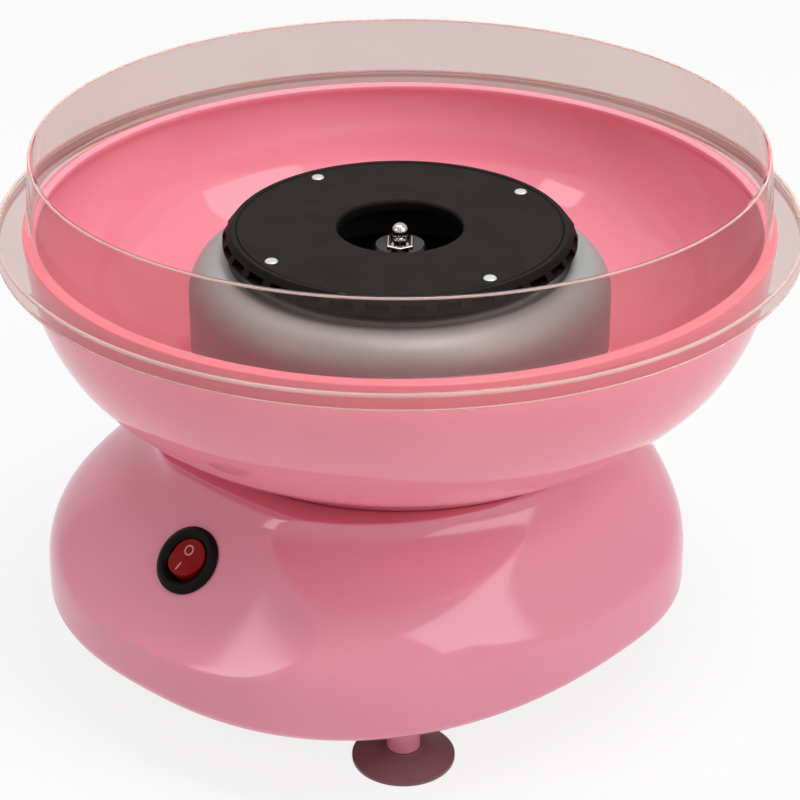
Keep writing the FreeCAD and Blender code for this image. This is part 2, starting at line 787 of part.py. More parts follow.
bowl_hole_radius = size.cover_radius + size.bowl_hole_gap
collar_radius = bowl_hole_radius + size.bowl_wall
collar_top = bowl_foot_level + size.bowl_collar_height
bowl_foot_radius = size.deck_side_reach - size.bowl_foot_inset
heel_radius = bowl_foot_radius + size.bowl_heel_flare
heel_level = bowl_foot_level + size.bowl_heel_height
waist_level = bowl_foot_level + size.bowl_waist_height
rim_radius = size.bowl_top_radius + size.bowl_rim_flange
rim_low = rim_level - size.bowl_rim_thickness
mouth_radius = size.bowl_top_radius - size.bowl_rim_lip
heel_lean = math.radians(float(size.bowl_heel_lean))
waist_lean = math.radians(float(size.bowl_waist_lean))
node("bowl", turned("bowl_body", [
    (bowl_hole_radius, bowl_foot_level), (bowl_foot_radius, bowl_foot_level),
    (bowl_foot_radius, bowl_foot_level + size.bowl_foot_height), (heel_radius, heel_level),
    (size.bowl_waist_radius, waist_level, size.bowl_lower_curve, -1),
    (size.bowl_top_radius, rim_low, size.bowl_upper_curve, -1),
    (rim_radius, rim_low), (rim_radius, rim_level), (mouth_radius, rim_level),
    (mouth_radius, rim_level - size.bowl_lip_thickness),
    (size.bowl_top_radius - size.bowl_wall, rim_low - size.bowl_lip_thickness),
    (size.bowl_waist_radius - size.bowl_wall * math.cos(waist_lean),
     waist_level + size.bowl_wall * math.sin(waist_lean), size.bowl_upper_curve - size.bowl_wall, 1),
    (heel_radius - size.bowl_wall * math.cos(heel_lean), heel_level + size.bowl_wall * math.sin(heel_lean),
     size.bowl_lower_curve - size.bowl_wall, 1),
    (collar_radius, heel_level + size.bowl_wall / 2), (collar_radius, collar_top), (bowl_hole_radius, collar_top)]))


# ---- splash guard --------------------------------------------------------------------------------

flange_low = rim_level + size.rest_gap
flange_high = flange_low + size.guard_wall
guard_top = flange_low + size.guard_height
guard_foot_radius = rim_radius - size.guard_foot_inset
guard_top_radius = guard_foot_radius - size.guard_lean
skirt_inner = rim_radius + size.guard_skirt_gap
skirt_radius = skirt_inner + size.guard_wall
skirt_low = flange_low - size.guard_skirt_drop
node("splash_guard", turned("guard_body", [
    (guard_top_radius - size.guard_wall, guard_top), (guard_foot_radius - size.guard_wall, flange_low),
    (skirt_inner, flange_low), (skirt_inner, skirt_low), (skirt_radius, skirt_low),
    (skirt_inner + size.guard_bevel, flange_high - size.guard_bevel), (skirt_inner, flange_high),
    (guard_foot_radius, flange_high), (guard_top_radius, guard_top)]))


# ---- heater --------------------------------------------------------------------------------------

cover_skin = size.cover_radius - size.cover_wall
cover_under = cover_top - size.cover_wall
cover_edge = size.cover_inner_radius + size.cover_ledge_width
node("heater_cover", turned("cover_body", [
    (cover_skin, deck_level), (size.cover_radius, deck_level), (size.cover_radius, cover_top),
    (cover_edge, cover_top), (cover_edge, cover_under), (cover_skin, cover_under)],
    rounds=[(size.cover_round, [(size.cover_radius, cover_top)]),
            (size.cover_round - size.cover_wall, [(cover_skin, cover_under)])]))

lip_ring_skin = size.cover_inner_radius + size.cover_wall
lip_ring_radius = cover_edge + size.lip_ring_overlap
lip_ring_low = cover_top - size.lip_ring_depth
lip_flange_low = cover_under - size.cover_wall
node("heater_lip_ring", turned("lip_ring_body", [
    (size.cover_inner_radius, lip_ring_low), (lip_ring_skin, lip_ring_low), (lip_ring_skin, lip_flange_low),
    (lip_ring_radius, lip_flange_low), (lip_ring_radius, cover_under), (lip_ring_skin, cover_under),
    (lip_ring_skin, cover_top), (size.cover_inner_radius, cover_top)]))

dish_skin = dish_radius - size.dish_wall
dish_floor = dish_level + size.dish_wall
dish_rim = dish_level + size.dish_depth
dish_hole_radius = size.spindle_hole_radius + size.dish_hole_gap
dish = turned("dish_body", [
    (dish_hole_radius, dish_level), (dish_radius, dish_level), (dish_radius, dish_rim), (dish_skin, dish_rim),
    (dish_skin, dish_floor), (dish_hole_radius, dish_floor)])
bush_holes = [cylinder("bush_hole_%d" % number, size.bush_neck_radius, size.dish_wall + 2 * spare, x, y,
                       dish_level - spare) for number, (x, y) in enumerate(leg_places)]
node("heater_dish", cut("dish", dish, bush_holes))

node("heater_posts", group("dish_posts", [
    cylinder("dish_post_%d" % number, size.post_radius, size.post_height, x, y, deck_level)
    for number, (x, y) in enumerate(ring_points(3, dish_radius - size.post_inset))]))

coil = doc.addObject("Part::Torus", "element_coil")
bind(coil, {"Radius1": element_radius, "Radius2": size.element_tube_radius})
place(coil, 0, 0, dish_level + size.element_height)
leg_low = dish_level - size.element_leg_drop
legs = [cylinder("element_leg_%d" % number, size.element_leg_radius, size.element_height + size.element_leg_drop, x, y,
                 leg_low) for number, (x, y) in enumerate(leg_places)]
node("heating_element", fused("element", [coil] + legs))

bushes = []
bush_low = dish_level - size.bush_collar_height
bush_height = size.bush_collar_height + size.dish_wall + size.bush_neck_rise
for number, (x, y) in enumerate(leg_places):
    sleeve = fused("bush_blank_%d" % number, [
        cylinder("bush_sleeve_%d" % number, size.bush_neck_radius, bush_height, x, y, bush_low),
        cylinder("bush_collar_%d" % number, size.bush_collar_radius, size.bush_collar_height, x, y, bush_low)])
    bore = cylinder("bush_bore_%d" % number, size.element_leg_radius, bush_height + 2 * spare, x, y, bush_low - spare)
    bushes.append(cut("bush_%d" % number, sleeve, [bore]))
node("heater_bushes", group("element_bushes", bushes))

cutoff_reach = fan_radius + size.cutoff_fan_gap
cutoff_level = dish_level - size.cutoff_height
cutoff_tabs = []
for number, side in enumerate((-1, 1)):
    cutoff_tabs.append(box("cutoff_tab_%d" % number, size.cutoff_tab_width, size.cutoff_tab_thickness,
                           size.cutoff_tab_length, -size.cutoff_tab_width / 2,
                           cutoff_reach + size.cutoff_tab_spread * side - size.cutoff_tab_thickness / 2,
                           cutoff_level - size.cutoff_tab_length))
cutoff_case = cylinder("cutoff_case", size.cutoff_radius, size.cutoff_height, 0, cutoff_reach, cutoff_level)
node("thermal_cutoff", fused("cutoff", [cutoff_case] + cutoff_tabs))


# ---- spindle, fan and motor ----------------------------------------------------------------------

can_low = motor_top - size.motor_length
cap_base = can_low - size.end_cap_height
bearing_low = can_low - size.bearing_length
pocket_low = bearing_low - size.bearing_pocket_gap
boss_top = motor_top + size.bearing_length
shaft_step = boss_top + size.spindle_step_gap
neck_low = hub_top - size.spindle_neck_depth
ball_level = hub_top + size.spindle_ball_rise
neck_high = ball_level - size.spindle_ball_radius / 2
tail_level = pocket_low + size.spindle_tail_gap
shaft = turned("shaft_body", [
    (0, tail_level), (size.spindle_tail_radius, tail_level), (size.spindle_tail_radius, shaft_step),
    (size.spindle_radius, shaft_step), (size.spindle_radius, neck_low), (size.spindle_neck_radius, neck_low),
    (size.spindle_neck_radius, neck_high), (0, neck_high)])
ball = doc.addObject("Part::Sphere", "shaft_ball")
bind(ball, {"Radius": size.spindle_ball_radius})
place(ball, 0, 0, ball_level)
pin_size = (size.drive_pin_radius, size.drive_pin_length, -size.drive_pin_length / 2, 0, pin_level, across_turn)
node("motor_shaft", cut("shaft", fused("shaft_and_ball", [shaft, ball]), [cylinder("pin_hole", *pin_size)]))
node("drive_pin", cylinder("shaft_pin", *pin_size))

fan_level = deck_level + size.fan_rise
fan_hub_radius = size.spindle_radius + size.fan_hub_wall
fan_disc_top = fan_level + size.fan_disc_thickness
fan_top = fan_level + size.fan_height
fan_disc = turned("fan_disc", [
    (size.spindle_radius, fan_level), (fan_radius, fan_level), (fan_radius, fan_disc_top),
    (fan_hub_radius, fan_disc_top), (fan_hub_radius, fan_top), (size.spindle_radius, fan_top)])
fan_blades = []
blade_root = fan_hub_radius - size.fan_hub_wall / 4
blade_length = fan_radius - size.fan_rim_width - blade_root
for number in range(int(size.fan_blade_count)):
    blade = Part.makeBox(blade_length, float(size.fan_blade_thickness), float(size.fan_height),
                         Vector(blade_root, -size.fan_blade_thickness / 2, fan_level))
    blade.rotate(Vector(0, 0, 0), Vector(0, 0, 1), 360.0 * number / int(size.fan_blade_count))
    fan_blades.append(shaped("fan_blade_%d" % number, blade))
node("cooling_fan", fused("fan", [fan_disc] + fan_blades))

can_skin = size.motor_radius - size.motor_wall
can_under = motor_top - size.motor_wall
node("motor_can", turned("can_body", [
    (size.bearing_radius, can_under), (can_skin, can_under), (can_skin, can_low), (size.motor_radius, can_low),
    (size.motor_radius, motor_top), (size.bearing_boss_radius, motor_top), (size.bearing_boss_radius, boss_top),
    (size.bearing_radius, boss_top)]))

bearing_bore = size.spindle_tail_radius + size.running_gap


def bush_bearing(name, low, high):
    return turned(name, [(bearing_bore, low), (size.bearing_radius, low), (size.bearing_radius, high),
                         (bearing_bore, high)])


node("upper_bearing", bush_bearing("upper_bush", can_under, boss_top))
node("lower_bearing", bush_bearing("lower_bush", bearing_low, can_low))

cap_low = pocket_low - size.end_cap_floor
cap = turned("cap_body", [
    (size.bearing_radius, pocket_low), (0, pocket_low), (0, cap_low), (size.bearing_boss_radius, cap_low),
    (size.bearing_boss_radius, cap_base), (size.motor_radius, cap_base), (size.motor_radius, can_low),
    (size.bearing_radius, can_low)])
brush_level = can_low + size.commutator_rise
pads = [box("brush_pad_%d" % number, size.brush_pad_width, size.brush_pad_width, size.brush_pad_height,
            size.brush_pad_reach * side - size.brush_pad_width / 2, -size.brush_pad_width / 2,
            brush_level - size.brush_pad_height) for number, side in enumerate((-1, 1))]
node("motor_end_cap", fused("end_cap", [cap] + pads))

magnet_inner = size.rotor_radius + size.magnet_gap
magnet_low = can_low + size.magnet_end_gap
magnet_high = motor_top - size.magnet_end_gap
magnet_ring = turned("magnet_ring", [
    (magnet_inner, magnet_low), (can_skin, magnet_low), (can_skin, magnet_high), (magnet_inner, magnet_high)])
magnet_split = box("magnet_split", size.motor_radius * 2, size.magnet_split_width, size.motor_length,
                   -size.motor_radius, -size.magnet_split_width / 2, can_low)
node("motor_magnets", cut("magnets", magnet_ring, [magnet_split]))

rotor_high = motor_top - size.rotor_top_gap
rotor_low = rotor_high - size.rotor_length
rotor_blank = turned("rotor_blank", [
    (size.spindle_tail_radius, rotor_low), (size.rotor_radius, rotor_low), (size.rotor_radius, rotor_high),
    (size.spindle_tail_radius, rotor_high)])
rotor_slot_places = ring_points(int(size.rotor_slot_count), size.rotor_radius - size.rotor_slot_inset,
                                float(size.rotor_slot_turn))
rotor_slots = [cylinder("rotor_slot_%d" % number, size.rotor_slot_radius, size.rotor_length + 2 * spare, x, y,
                        rotor_low - spare) for number, (x, y) in enumerate(rotor_slot_places)]
node("rotor_core", cut("rotor", rotor_blank, rotor_slots))

commutator_top = brush_level + size.commutator_length
node("commutator", turned("commutator_body", [
    (size.spindle_tail_radius, brush_level), (size.commutator_radius, brush_level),
    (size.commutator_radius, commutator_top), (size.spindle_tail_radius, commutator_top)]))
brush_inner = size.commutator_radius + size.running_gap
node("motor_brushes", group("brush_pair", [
    box("brush_%d" % number, size.brush_length, size.brush_width, size.brush_height, brush_x, -size.brush_width / 2,
        brush_level) for number, brush_x in enumerate((brush_inner, -brush_inner - size.brush_length))]))

bracket_radius = size.mount_ring_radius + size.bracket_rim
bracket_blank = turned("bracket_blank", [
    (size.bearing_boss_radius, motor_top), (bracket_radius, motor_top), (bracket_radius, bracket_top),
    (size.bearing_boss_radius, bracket_top)])
window_places = ring_points(3, size.mount_ring_radius - size.bracket_window_inset,
                            float(size.bracket_window_turn))
motor_screw_places = [(size.motor_screw_reach, 0.0), (-size.motor_screw_reach, 0.0)]


def bracket_tools(name, radius, places):
    return [cylinder("%s_%d" % (name, number), radius, size.bracket_thickness + 2 * spare, x, y, motor_top - spare)
            for number, (x, y) in enumerate(places)]


node("motor_bracket", cut("bracket", bracket_blank,
                          bracket_tools("bracket_hole", size.grommet_core_radius, boss_places)
                          + bracket_tools("bracket_window", size.bracket_window_radius, window_places)
                          + bracket_tools("bracket_tap", size.motor_screw_radius, motor_screw_places)))

motor_screws = []
for number, (x, y) in enumerate(motor_screw_places):
    head = cylinder("motor_screw_head_%d" % number, size.motor_screw_head_radius, size.motor_screw_head_height, x, y,
                    bracket_top)
    shank = cylinder("motor_screw_shank_%d" % number, size.motor_screw_radius, size.bracket_thickness, x, y, motor_top)
    motor_screws.append(fused("motor_screw_%d" % number, [head, shank]))
node("motor_screws", group("bracket_screws", motor_screws))

grommet_low = motor_top - size.grommet_flange
grommets = []
for number, (x, y) in enumerate(boss_places):
    grommet = turned("grommet_%d" % number, [
        (size.mount_screw_radius, grommet_low), (size.grommet_radius, grommet_low), (size.grommet_radius, motor_top),
        (size.grommet_core_radius, motor_top), (size.grommet_core_radius, bracket_top),
        (size.grommet_radius, bracket_top), (size.grommet_radius, boss_foot), (size.mount_screw_radius, boss_foot)])
    grommets.append(place(grommet, x, y))
node("motor_grommets", group("grommet_set", grommets))
mount_shank = size.grommet_flange * 2 + size.bracket_thickness + size.mount_screw_bite
node("mount_screws", group("mount_screw_set", [
    screw("mount_screw_%d" % number, x, y, grommet_low, size.mount_screw_head_radius, size.mount_screw_radius,
          mount_shank) for number, (x, y) in enumerate(boss_places)]))


# ---- spinner head --------------------------------------------------------------------------------

head_plate_top = head_top - size.head_plate_sink
head_plate_low = head_plate_top - size.head_plate_thickness
pan_flange_low = head_low - size.pan_wall
rivet_places = ring_points(4, size.head_plate_radius - size.rivet_inset, float(size.rivet_turn))


def rivet_holes(name):
    low = pan_flange_low - spare
    return [cylinder("%s_rivet_hole_%d" % (name, number), size.rivet_radius, head_top + spare - low, x, y, low)
            for number, (x, y) in enumerate(rivet_places)]


lip_low = head_plate_low - size.head_hole_lip
lip_outer = size.head_hole_radius + size.head_plate_thickness
plate = turned("head_plate_body", [
    (size.head_hole_radius, lip_low), (lip_outer, lip_low), (lip_outer, head_plate_low),
    (size.head_plate_radius, head_plate_low), (size.head_plate_radius, head_plate_top),
    (size.head_hole_radius, head_plate_top)],
    rounds=[(size.head_plate_thickness * 0.9, [(size.head_hole_radius, head_plate_top)])])
node("head_top_plate", cut("head_plate", plate, rivet_holes("plate")))

band_inner = size.head_radius - size.head_band_depth
flange_radius = size.head_plate_radius - size.head_flange_width
ring_seat = size.head_plate_radius + size.head_plate_gap
ring_crest = size.head_plate_radius + size.head_rim_width
upper_flange_low = head_plate_low - size.head_flange_thickness
vent_low = head_low + size.head_flange_thickness
vent_ring = turned("vent_ring_body", [
    (flange_radius, head_low), (size.head_radius - size.head_edge_bevel, head_low),
    (size.head_radius, head_low + size.head_edge_bevel), (size.head_radius, head_low + size.head_edge_height),
    (ring_crest, head_top - size.head_rim_bevel), (ring_crest - size.head_rim_bevel, head_top),
    (ring_seat + size.head_rim_bevel, head_top), (ring_seat, head_top - size.head_rim_bevel),
    (ring_seat, head_plate_low), (flange_radius, head_plate_low), (flange_radius, upper_flange_low),
    (band_inner, upper_flange_low), (band_inner, vent_low), (flange_radius, vent_low)])
doc.recompute()
vent_sketch = vent_ring.newObject("Sketcher::SketchObject", "vent_outline")
vent_sketch.AttachmentSupport = [(origin_plane(vent_ring, "YZ_Plane"), "")]
vent_sketch.MapMode = "FlatFace"
vent_start = band_inner - spare
vent_sketch.AttachmentOffset = Placement(Vector(0, 0, vent_start), Rotation())
vent_sketch.setExpression("AttachmentOffset.Base.z", vent_start.text)
vent_high = vent_low + size.head_vent_height
vent_half = size.head_vent_width / 2
corners = [Vector(-vent_half, vent_low, 0), Vector(vent_half, vent_low, 0), Vector(vent_half, vent_high, 0),
           Vector(-vent_half, vent_high, 0)]
for index in range(4):
    vent_sketch.addGeometry(Part.LineSegment(corners[index], corners[(index + 1) % 4]), False)
for index in range(4):
    vent_sketch.addConstraint(Sketcher.Constraint("Coincident", index, 2, (index + 1) % 4, 1))
for index, kind in ((0, "Horizontal"), (1, "Vertical"), (2, "Horizontal"), (3, "Vertical")):
    vent_sketch.addConstraint(Sketcher.Constraint(kind, index))
vent_sketch.addConstraint(Sketcher.Constraint("DistanceX", -1, 1, 0, 1, float(-vent_half)))
vent_sketch.addConstraint(Sketcher.Constraint("DistanceY", -1, 1, 0, 1, float(vent_low)))
vent_sketch.addConstraint(Sketcher.Constraint("DistanceX", -1, 1, 0, 2, float(vent_half)))
vent_sketch.addConstraint(Sketcher.Constraint("DistanceY", 1, 1, 1, 2, float(size.head_vent_height)))
first_size = vent_sketch.ConstraintCount - 4
for index, value in enumerate((-vent_half, vent_low, vent_half, size.head_vent_height)):
    vent_sketch.setExpression("Constraints[%d]" % (first_size + index), value.text)
vent = vent_ring.newObject("PartDesign::Pocket", "vent_slot")
vent.Profile = vent_sketch
vent.Reversed = True
vent.Type = "Length"
bind(vent, {"Length": size.head_band_depth + 3 * spare})
doc.recompute()
vent_row = vent_ring.newObject("PartDesign::PolarPattern", "vent_row")
vent_row.Originals = [vent]
vent_row.Axis = (origin_plane(vent_ring, "Z_Axis"), [""])
vent_row.Angle = 360
bind(vent_row, {"Occurrences": size.head_vent_count})
vent_ring.Tip = vent_row
node("head_vent_ring", cut("vent_ring", vent_ring, rivet_holes("ring")))

pan_floor_radius = size.cover_inner_radius - size.pan_floor_inset
pan_floor_top = pan_level + size.pan_wall
pan_mouth = size.cover_inner_radius - size.pan_gap
pan_flange_radius = size.head_radius - size.pan_flange_inset
pan = turned("pan_body", [
    (size.hub_stem_radius, pan_level), (pan_floor_radius, pan_level), (pan_mouth, pan_flange_low),
    (pan_flange_radius, pan_flange_low), (pan_flange_radius, head_low), (pan_mouth - size.pan_wall, head_low),
    (pan_floor_radius - size.pan_wall, pan_floor_top), (size.hub_stem_radius, pan_floor_top)])
node("head_pan", cut("sugar_pan", pan, rivet_holes("pan")))

rivets = []
tail_low = pan_flange_low - size.rivet_tail_height
for number, (x, y) in enumerate(rivet_places):
    rivet = turned("rivet_%d" % number, [
        (0, tail_low), (size.rivet_head_radius * 0.8, tail_low), (size.rivet_head_radius, pan_flange_low),
        (size.rivet_radius, pan_flange_low), (size.rivet_radius, head_plate_top),
        (size.rivet_head_radius, head_plate_top),
        (size.rivet_head_radius * 0.85, head_plate_top + size.rivet_head_height * 0.8),
        (0, head_plate_top + size.rivet_head_height)])
    rivets.append(place(rivet, x, y))
node("head_rivets", group("rivet_set", rivets))

hub_bore = size.spindle_radius + size.running_gap
cap_skirt = hub_top - size.hub_cap_height
cap_root = cap_skirt - (size.hub_radius - size.hub_stem_radius) / 3
hub = turned("hub_body", [
    (hub_bore, hub_low), (size.hub_foot_radius, hub_low), (size.hub_foot_radius, pan_level),
    (size.hub_stem_radius, pan_level), (size.hub_stem_radius, cap_root), (size.hub_radius, cap_skirt),
    (size.hub_radius, hub_top - size.hub_cap_bevel), (size.hub_radius - size.hub_cap_bevel, hub_top),
    (hub_bore, hub_top)])
slot_length = (size.hub_radius + spare) * 2
pin_slot_half = size.drive_pin_radius + size.pin_slot_gap
pin_slot_low = hub_low - spare
pin_slot_top = pin_level + size.drive_pin_radius + size.running_gap
pin_slot = box("pin_slot", slot_length, pin_slot_half * 2, pin_slot_top - pin_slot_low, -slot_length / 2,
               -pin_slot_half, pin_slot_low)
clip_turn = Rotation(Vector(0, 0, 1), float(size.hub_turn))
cap_slot_corner = clip_turn.multVec(Vector(-size.hub_slot_width / 2, -slot_length / 2, 0))
cap_slot = box("cap_slot", size.hub_slot_width, slot_length, size.hub_slot_depth + spare, cap_slot_corner.x,
               cap_slot_corner.y, hub_top - size.hub_slot_depth, clip_turn)
node("head_hub", cut("hub", hub, [pin_slot, cap_slot]))

nut_blank = doc.addObject("Part::Prism", "nut_blank")
nut_blank.Polygon = 6
bind(nut_blank, {"Circumradius": size.nut_radius, "Height": size.nut_height})
place(nut_blank, 0, 0, pan_floor_top)
nut_bore = cylinder("nut_bore", size.hub_stem_radius, size.nut_height + 2 * spare, z=pan_floor_top - spare)
node("hub_nut", cut("nut", nut_blank, [nut_bore]))


def wire_between(start, end, radius):
    run = end.sub(start)
    rod = Part.makeCylinder(radius, run.Length, start, run)
    return rod.fuse(Part.makeSphere(radius, end))


wire = float(size.clip_wire_radius)
clip_side = size.spindle_ball_radius + size.clip_wire_radius + size.clip_side_gap
clip_points = [Vector(clip_side, size.clip_arm_length, 0), Vector(clip_side, -size.clip_shoulder_reach, 0),
               Vector(0, -size.clip_tip_reach, 0), Vector(-clip_side, -size.clip_shoulder_reach, 0),
               Vector(-clip_side, size.clip_arm_length, 0)]
clip = Part.makeSphere(wire, clip_points[0])
for start, end in zip(clip_points, clip_points[1:]):
    clip = clip.fuse(wire_between(start, end, wire))
node("hub_clip", shaped("clip_wire", clip.removeSplitter(), Placement(Vector(0, 0, hub_top + wire), clip_turn)))


# ---- cord gland and rectifier board --------------------------------------------------------------

gland_grip = -size.base_wall - size.running_gap
gland_tail = gland_grip - size.gland_flange_thickness
gland_end = gland_tail - size.gland_tail_length
gland_nose = size.gland_flange_thickness + size.gland_nose_length
gland = turned("gland_body", [
    (size.gland_bore_radius, gland_end), (size.gland_tail_radius, gland_end), (size.gland_barb_radius, gland_tail),
    (size.gland_barb_radius, gland_grip), (size.gland_body_radius, gland_grip), (size.gland_body_radius, 0),
    (size.gland_flange_radius, 0), (size.gland_flange_radius, size.gland_flange_thickness),
    (size.gland_body_radius, gland_nose), (size.gland_bore_radius, gland_nose)])
gland_turn = Rotation(Vector(0, 0, 1), 180).multiply(Rotation(Vector(1, 0, 0), 90))
node("cord_gland", place(gland, 0, size.rear_panel_reach - size.gland_seat_depth, inlet_level, gland_turn))

board_low = plate_top + size.standoff_height
board_top = board_low + size.board_thickness
standoff_x = size.board_length / 2 - size.standoff_inset
standoff_y = size.board_width / 2 - size.standoff_inset
standoff_places = [(standoff_x * i, size.board_back + standoff_y * j) for i in (-1, 1) for j in (-1, 1)]
node("rectifier_board", box("board", size.board_length, size.board_width, size.board_thickness,
                            -size.board_length / 2, size.board_back - size.board_width / 2, board_low))
node("board_standoffs", group("standoff_set", [
    cylinder("standoff_%d" % number, size.standoff_radius, size.standoff_height, x, y, plate_top)
    for number, (x, y) in enumerate(standoff_places)]))
diode_count = int(size.diode_count)
diodes = []
for number in range(diode_count):
    diode_y = size.board_back + size.diode_pitch * (number - (diode_count - 1) / 2)
    diodes.append(cylinder("diode_%d" % number, size.diode_radius, size.diode_length, -size.diode_offset, diode_y,
                           board_top + size.diode_radius, across_turn))
node("board_diodes", group("diode_set", diodes))
node("board_capacitor", cylinder("capacitor", size.capacitor_radius, size.capacitor_height, size.capacitor_offset,
                                 size.board_back, board_top))


# ---- check and write -----------------------------------------------------------------------------

doc.recompute()
faults = ["%s: %s" % (item.Name, item.State) for item in doc.Objects
          if "Invalid" in item.State or "Error" in item.State]
for item in doc.Objects:
    if item.TypeId == "Part::Cut" and item.Shape.Volume > item.Base.Shape.Volume - spare:
        faults.append("%s took nothing away" % item.Name)
for item in nodes:
    if item.Shape.isNull() or not item.Shape.isValid() or not item.Shape.Solids:
        faults.append("%s has no valid solid" % item.Label)
labels = [item.Label for item in nodes]
if len(set(labels)) != len(labels):
    faults.append("two pieces share a label")
if faults:
    raise RuntimeError("; ".join(faults))

os.makedirs("parts", exist_ok=True)
for item in nodes:
    item.Shape.exportStep("parts/%s.step" % item.Label)
    bounds = item.Shape.BoundBox
    print("%-26s solids %2d  volume %9.1f  z %6.1f..%6.1f" % (
        item.Label, len(item.Shape.Solids), item.Shape.Volume, bounds.ZMin, bounds.ZMax))
print(len(nodes), "pieces")
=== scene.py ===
from math import cos, hypot, pi, radians, sin, sqrt, tan
import bmesh
import bpy
from mathutils import Matrix, Vector


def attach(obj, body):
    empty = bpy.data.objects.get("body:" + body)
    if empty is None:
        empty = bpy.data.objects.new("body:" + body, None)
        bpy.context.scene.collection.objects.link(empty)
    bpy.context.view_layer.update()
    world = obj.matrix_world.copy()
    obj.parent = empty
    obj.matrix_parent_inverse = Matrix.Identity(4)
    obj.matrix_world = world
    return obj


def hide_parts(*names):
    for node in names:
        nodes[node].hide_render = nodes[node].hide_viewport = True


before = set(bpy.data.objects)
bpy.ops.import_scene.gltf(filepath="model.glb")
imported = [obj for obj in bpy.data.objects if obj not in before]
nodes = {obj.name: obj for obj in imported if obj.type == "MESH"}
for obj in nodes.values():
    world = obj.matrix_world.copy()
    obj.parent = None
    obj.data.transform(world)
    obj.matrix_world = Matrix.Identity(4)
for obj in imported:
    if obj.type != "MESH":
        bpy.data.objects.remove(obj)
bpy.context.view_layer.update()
mm = 0.001  # outlines are written in millimetres, objects are in metres
print("frame loaded,", len(nodes), "nodes")


def addPiece(name, mesh, body, finish):
    for polygon in mesh.polygons:
        polygon.use_smooth = True
    piece = bpy.data.objects.new(name, mesh)
    bpy.context.scene.collection.objects.link(piece)
    mesh.materials.append(finish)
    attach(piece, body)
    return piece


def evenShading(piece, broadFaceShare=60):
    # broad faces keep their own direction, so that only the rounded edges turn
    weighting = piece.modifiers.new("Even Shading", "WEIGHTED_NORMAL")
    weighting.weight = broadFaceShare
    return piece


def ringOf(radius, level, steps, at=(0, 0)):
    turns = [2 * pi * step / steps for step in range(steps)]
    return [(at[0] + radius * cos(turn), at[1] + radius * sin(turn), level) for turn in turns]


def meshOfRows(name, rows, closed=False, mergeDistance=1e-7):
    # every row is one ring of points, all of the same count
    count = len(rows[0])
    points = [(x * mm, y * mm, z * mm) for row in rows for x, y, z in row]
    faces = []
    last = len(rows) if closed else len(rows) - 1
    for index in range(last):
        low = index * count
        high = (index + 1) % len(rows) * count
        for step in range(count):
            after = (step + 1) % count
            faces.append((low + step, low + after, high + after, high + step))
    if not closed:
        faces.append(tuple(reversed(range(count))))
        faces.append(tuple(range(len(points) - count, len(points))))
    mesh = bpy.data.meshes.new(name)
    mesh.from_pydata(points, [], faces)
    shape = bmesh.new()
    shape.from_mesh(mesh)
    bmesh.ops.remove_doubles(shape, verts=shape.verts, dist=mergeDistance)
    bmesh.ops.recalc_face_normals(shape, faces=shape.faces)
    shape.to_mesh(mesh)
    shape.free()
    return mesh


def arcTo(start, end, radius, side, count=18):
    # points after start, up to end, on the arc that bulges to one side of the way there
    across = Vector((end[0] - start[0], end[1] - start[1]))
    half = across.length / 2
    rise = sqrt(radius * radius - half * half)
    normal = Vector((-across.y, across.x)).normalized()
    middle = Vector(start) + across / 2 + normal * rise * side
    first = Vector(start) - middle
    sweep = first.angle_signed(Vector(end) - middle)
    points = []
    for index in range(1, count + 1):
        turned = first.copy()
        turned.rotate(Matrix.Rotation(-sweep * index / count, 2))
        points.append(tuple(middle + turned))
    return points


def softened(outline, rounding, steps=4, leastBend=14, sideShare=0.48):
    # rounds each sharp corner of a closed outline; a third number at a corner sets its own rounding
    points = []
    total = len(outline)
    for index, corner in enumerate(outline):
        here = Vector(corner[:2])
        before = Vector(outline[index - 1][:2]) - here
        after = Vector(outline[(index + 1) % total][:2]) - here
        own = corner[2] if len(corner) > 2 else rounding
        bend = pi - before.angle(after) if before.length and after.length else 0
        if bend < radians(leastBend) or own == 0:
            points.append(tuple(here))
            continue
        reach = min(own, before.length * sideShare, after.length * sideShare)
        first = here + before.normalized() * reach
        last = here + after.normalized() * reach
        for step in range(steps + 1):
            share = step / steps
            point = first * (1 - share) ** 2 + here * 2 * share * (1 - share) + last * share ** 2
            points.append(tuple(point))
    return points


def turnedPiece(name, outline, body, finish, steps=240, at=(0, 0)):
    # a piece turned about the upright axis from a closed outline of (radius, level)
    rows = [ringOf(max(radius, 0), level, steps, at) for radius, level in outline]
    return evenShading(addPiece(name, meshOfRows(name, rows, True), body, finish))


def boredOut(piece, *cutters):
    # cuts the cutters from a piece for good and throws them away
    for cutter in cutters:
        boolean = piece.modifiers.new("Bore", "BOOLEAN")
        boolean.operation = "DIFFERENCE"
        boolean.solver = "EXACT"
        boolean.object = cutter
    bpy.context.view_layer.update()
    graph = bpy.context.evaluated_depsgraph_get()
    mesh = bpy.data.meshes.new_from_object(piece.evaluated_get(graph))
    piece.modifiers.clear()
    piece.data = mesh
    for cutter in cutters:
        bpy.data.objects.remove(cutter)
    evenShading(piece)


def borer(radius, length, middle, direction, sides=96):
    mesh = bpy.data.meshes.new("borer")
    shape = bmesh.new()
    bmesh.ops.create_cone(shape, cap_ends=True, segments=sides, radius1=radius * mm,
                          radius2=radius * mm, depth=length * mm)
    shape.to_mesh(mesh)
    shape.free()
    tool = bpy.data.objects.new("borer", mesh)
    bpy.context.scene.collection.objects.link(tool)
    tool.matrix_world = (Matrix.Translation(Vector(middle) * mm)
                         @ Vector(direction).to_track_quat("Z", "Y").to_matrix().to_4x4())
    return tool


def newFinish(name, **values):
    finish = bpy.data.materials.new(name)
    finish.use_nodes = True
    shader = finish.node_tree.nodes["Principled BSDF"]
    for socket, value in values.items():
        shader.inputs[socket.replace("_", " ")].default_value = value
    return finish, finish.node_tree, shader


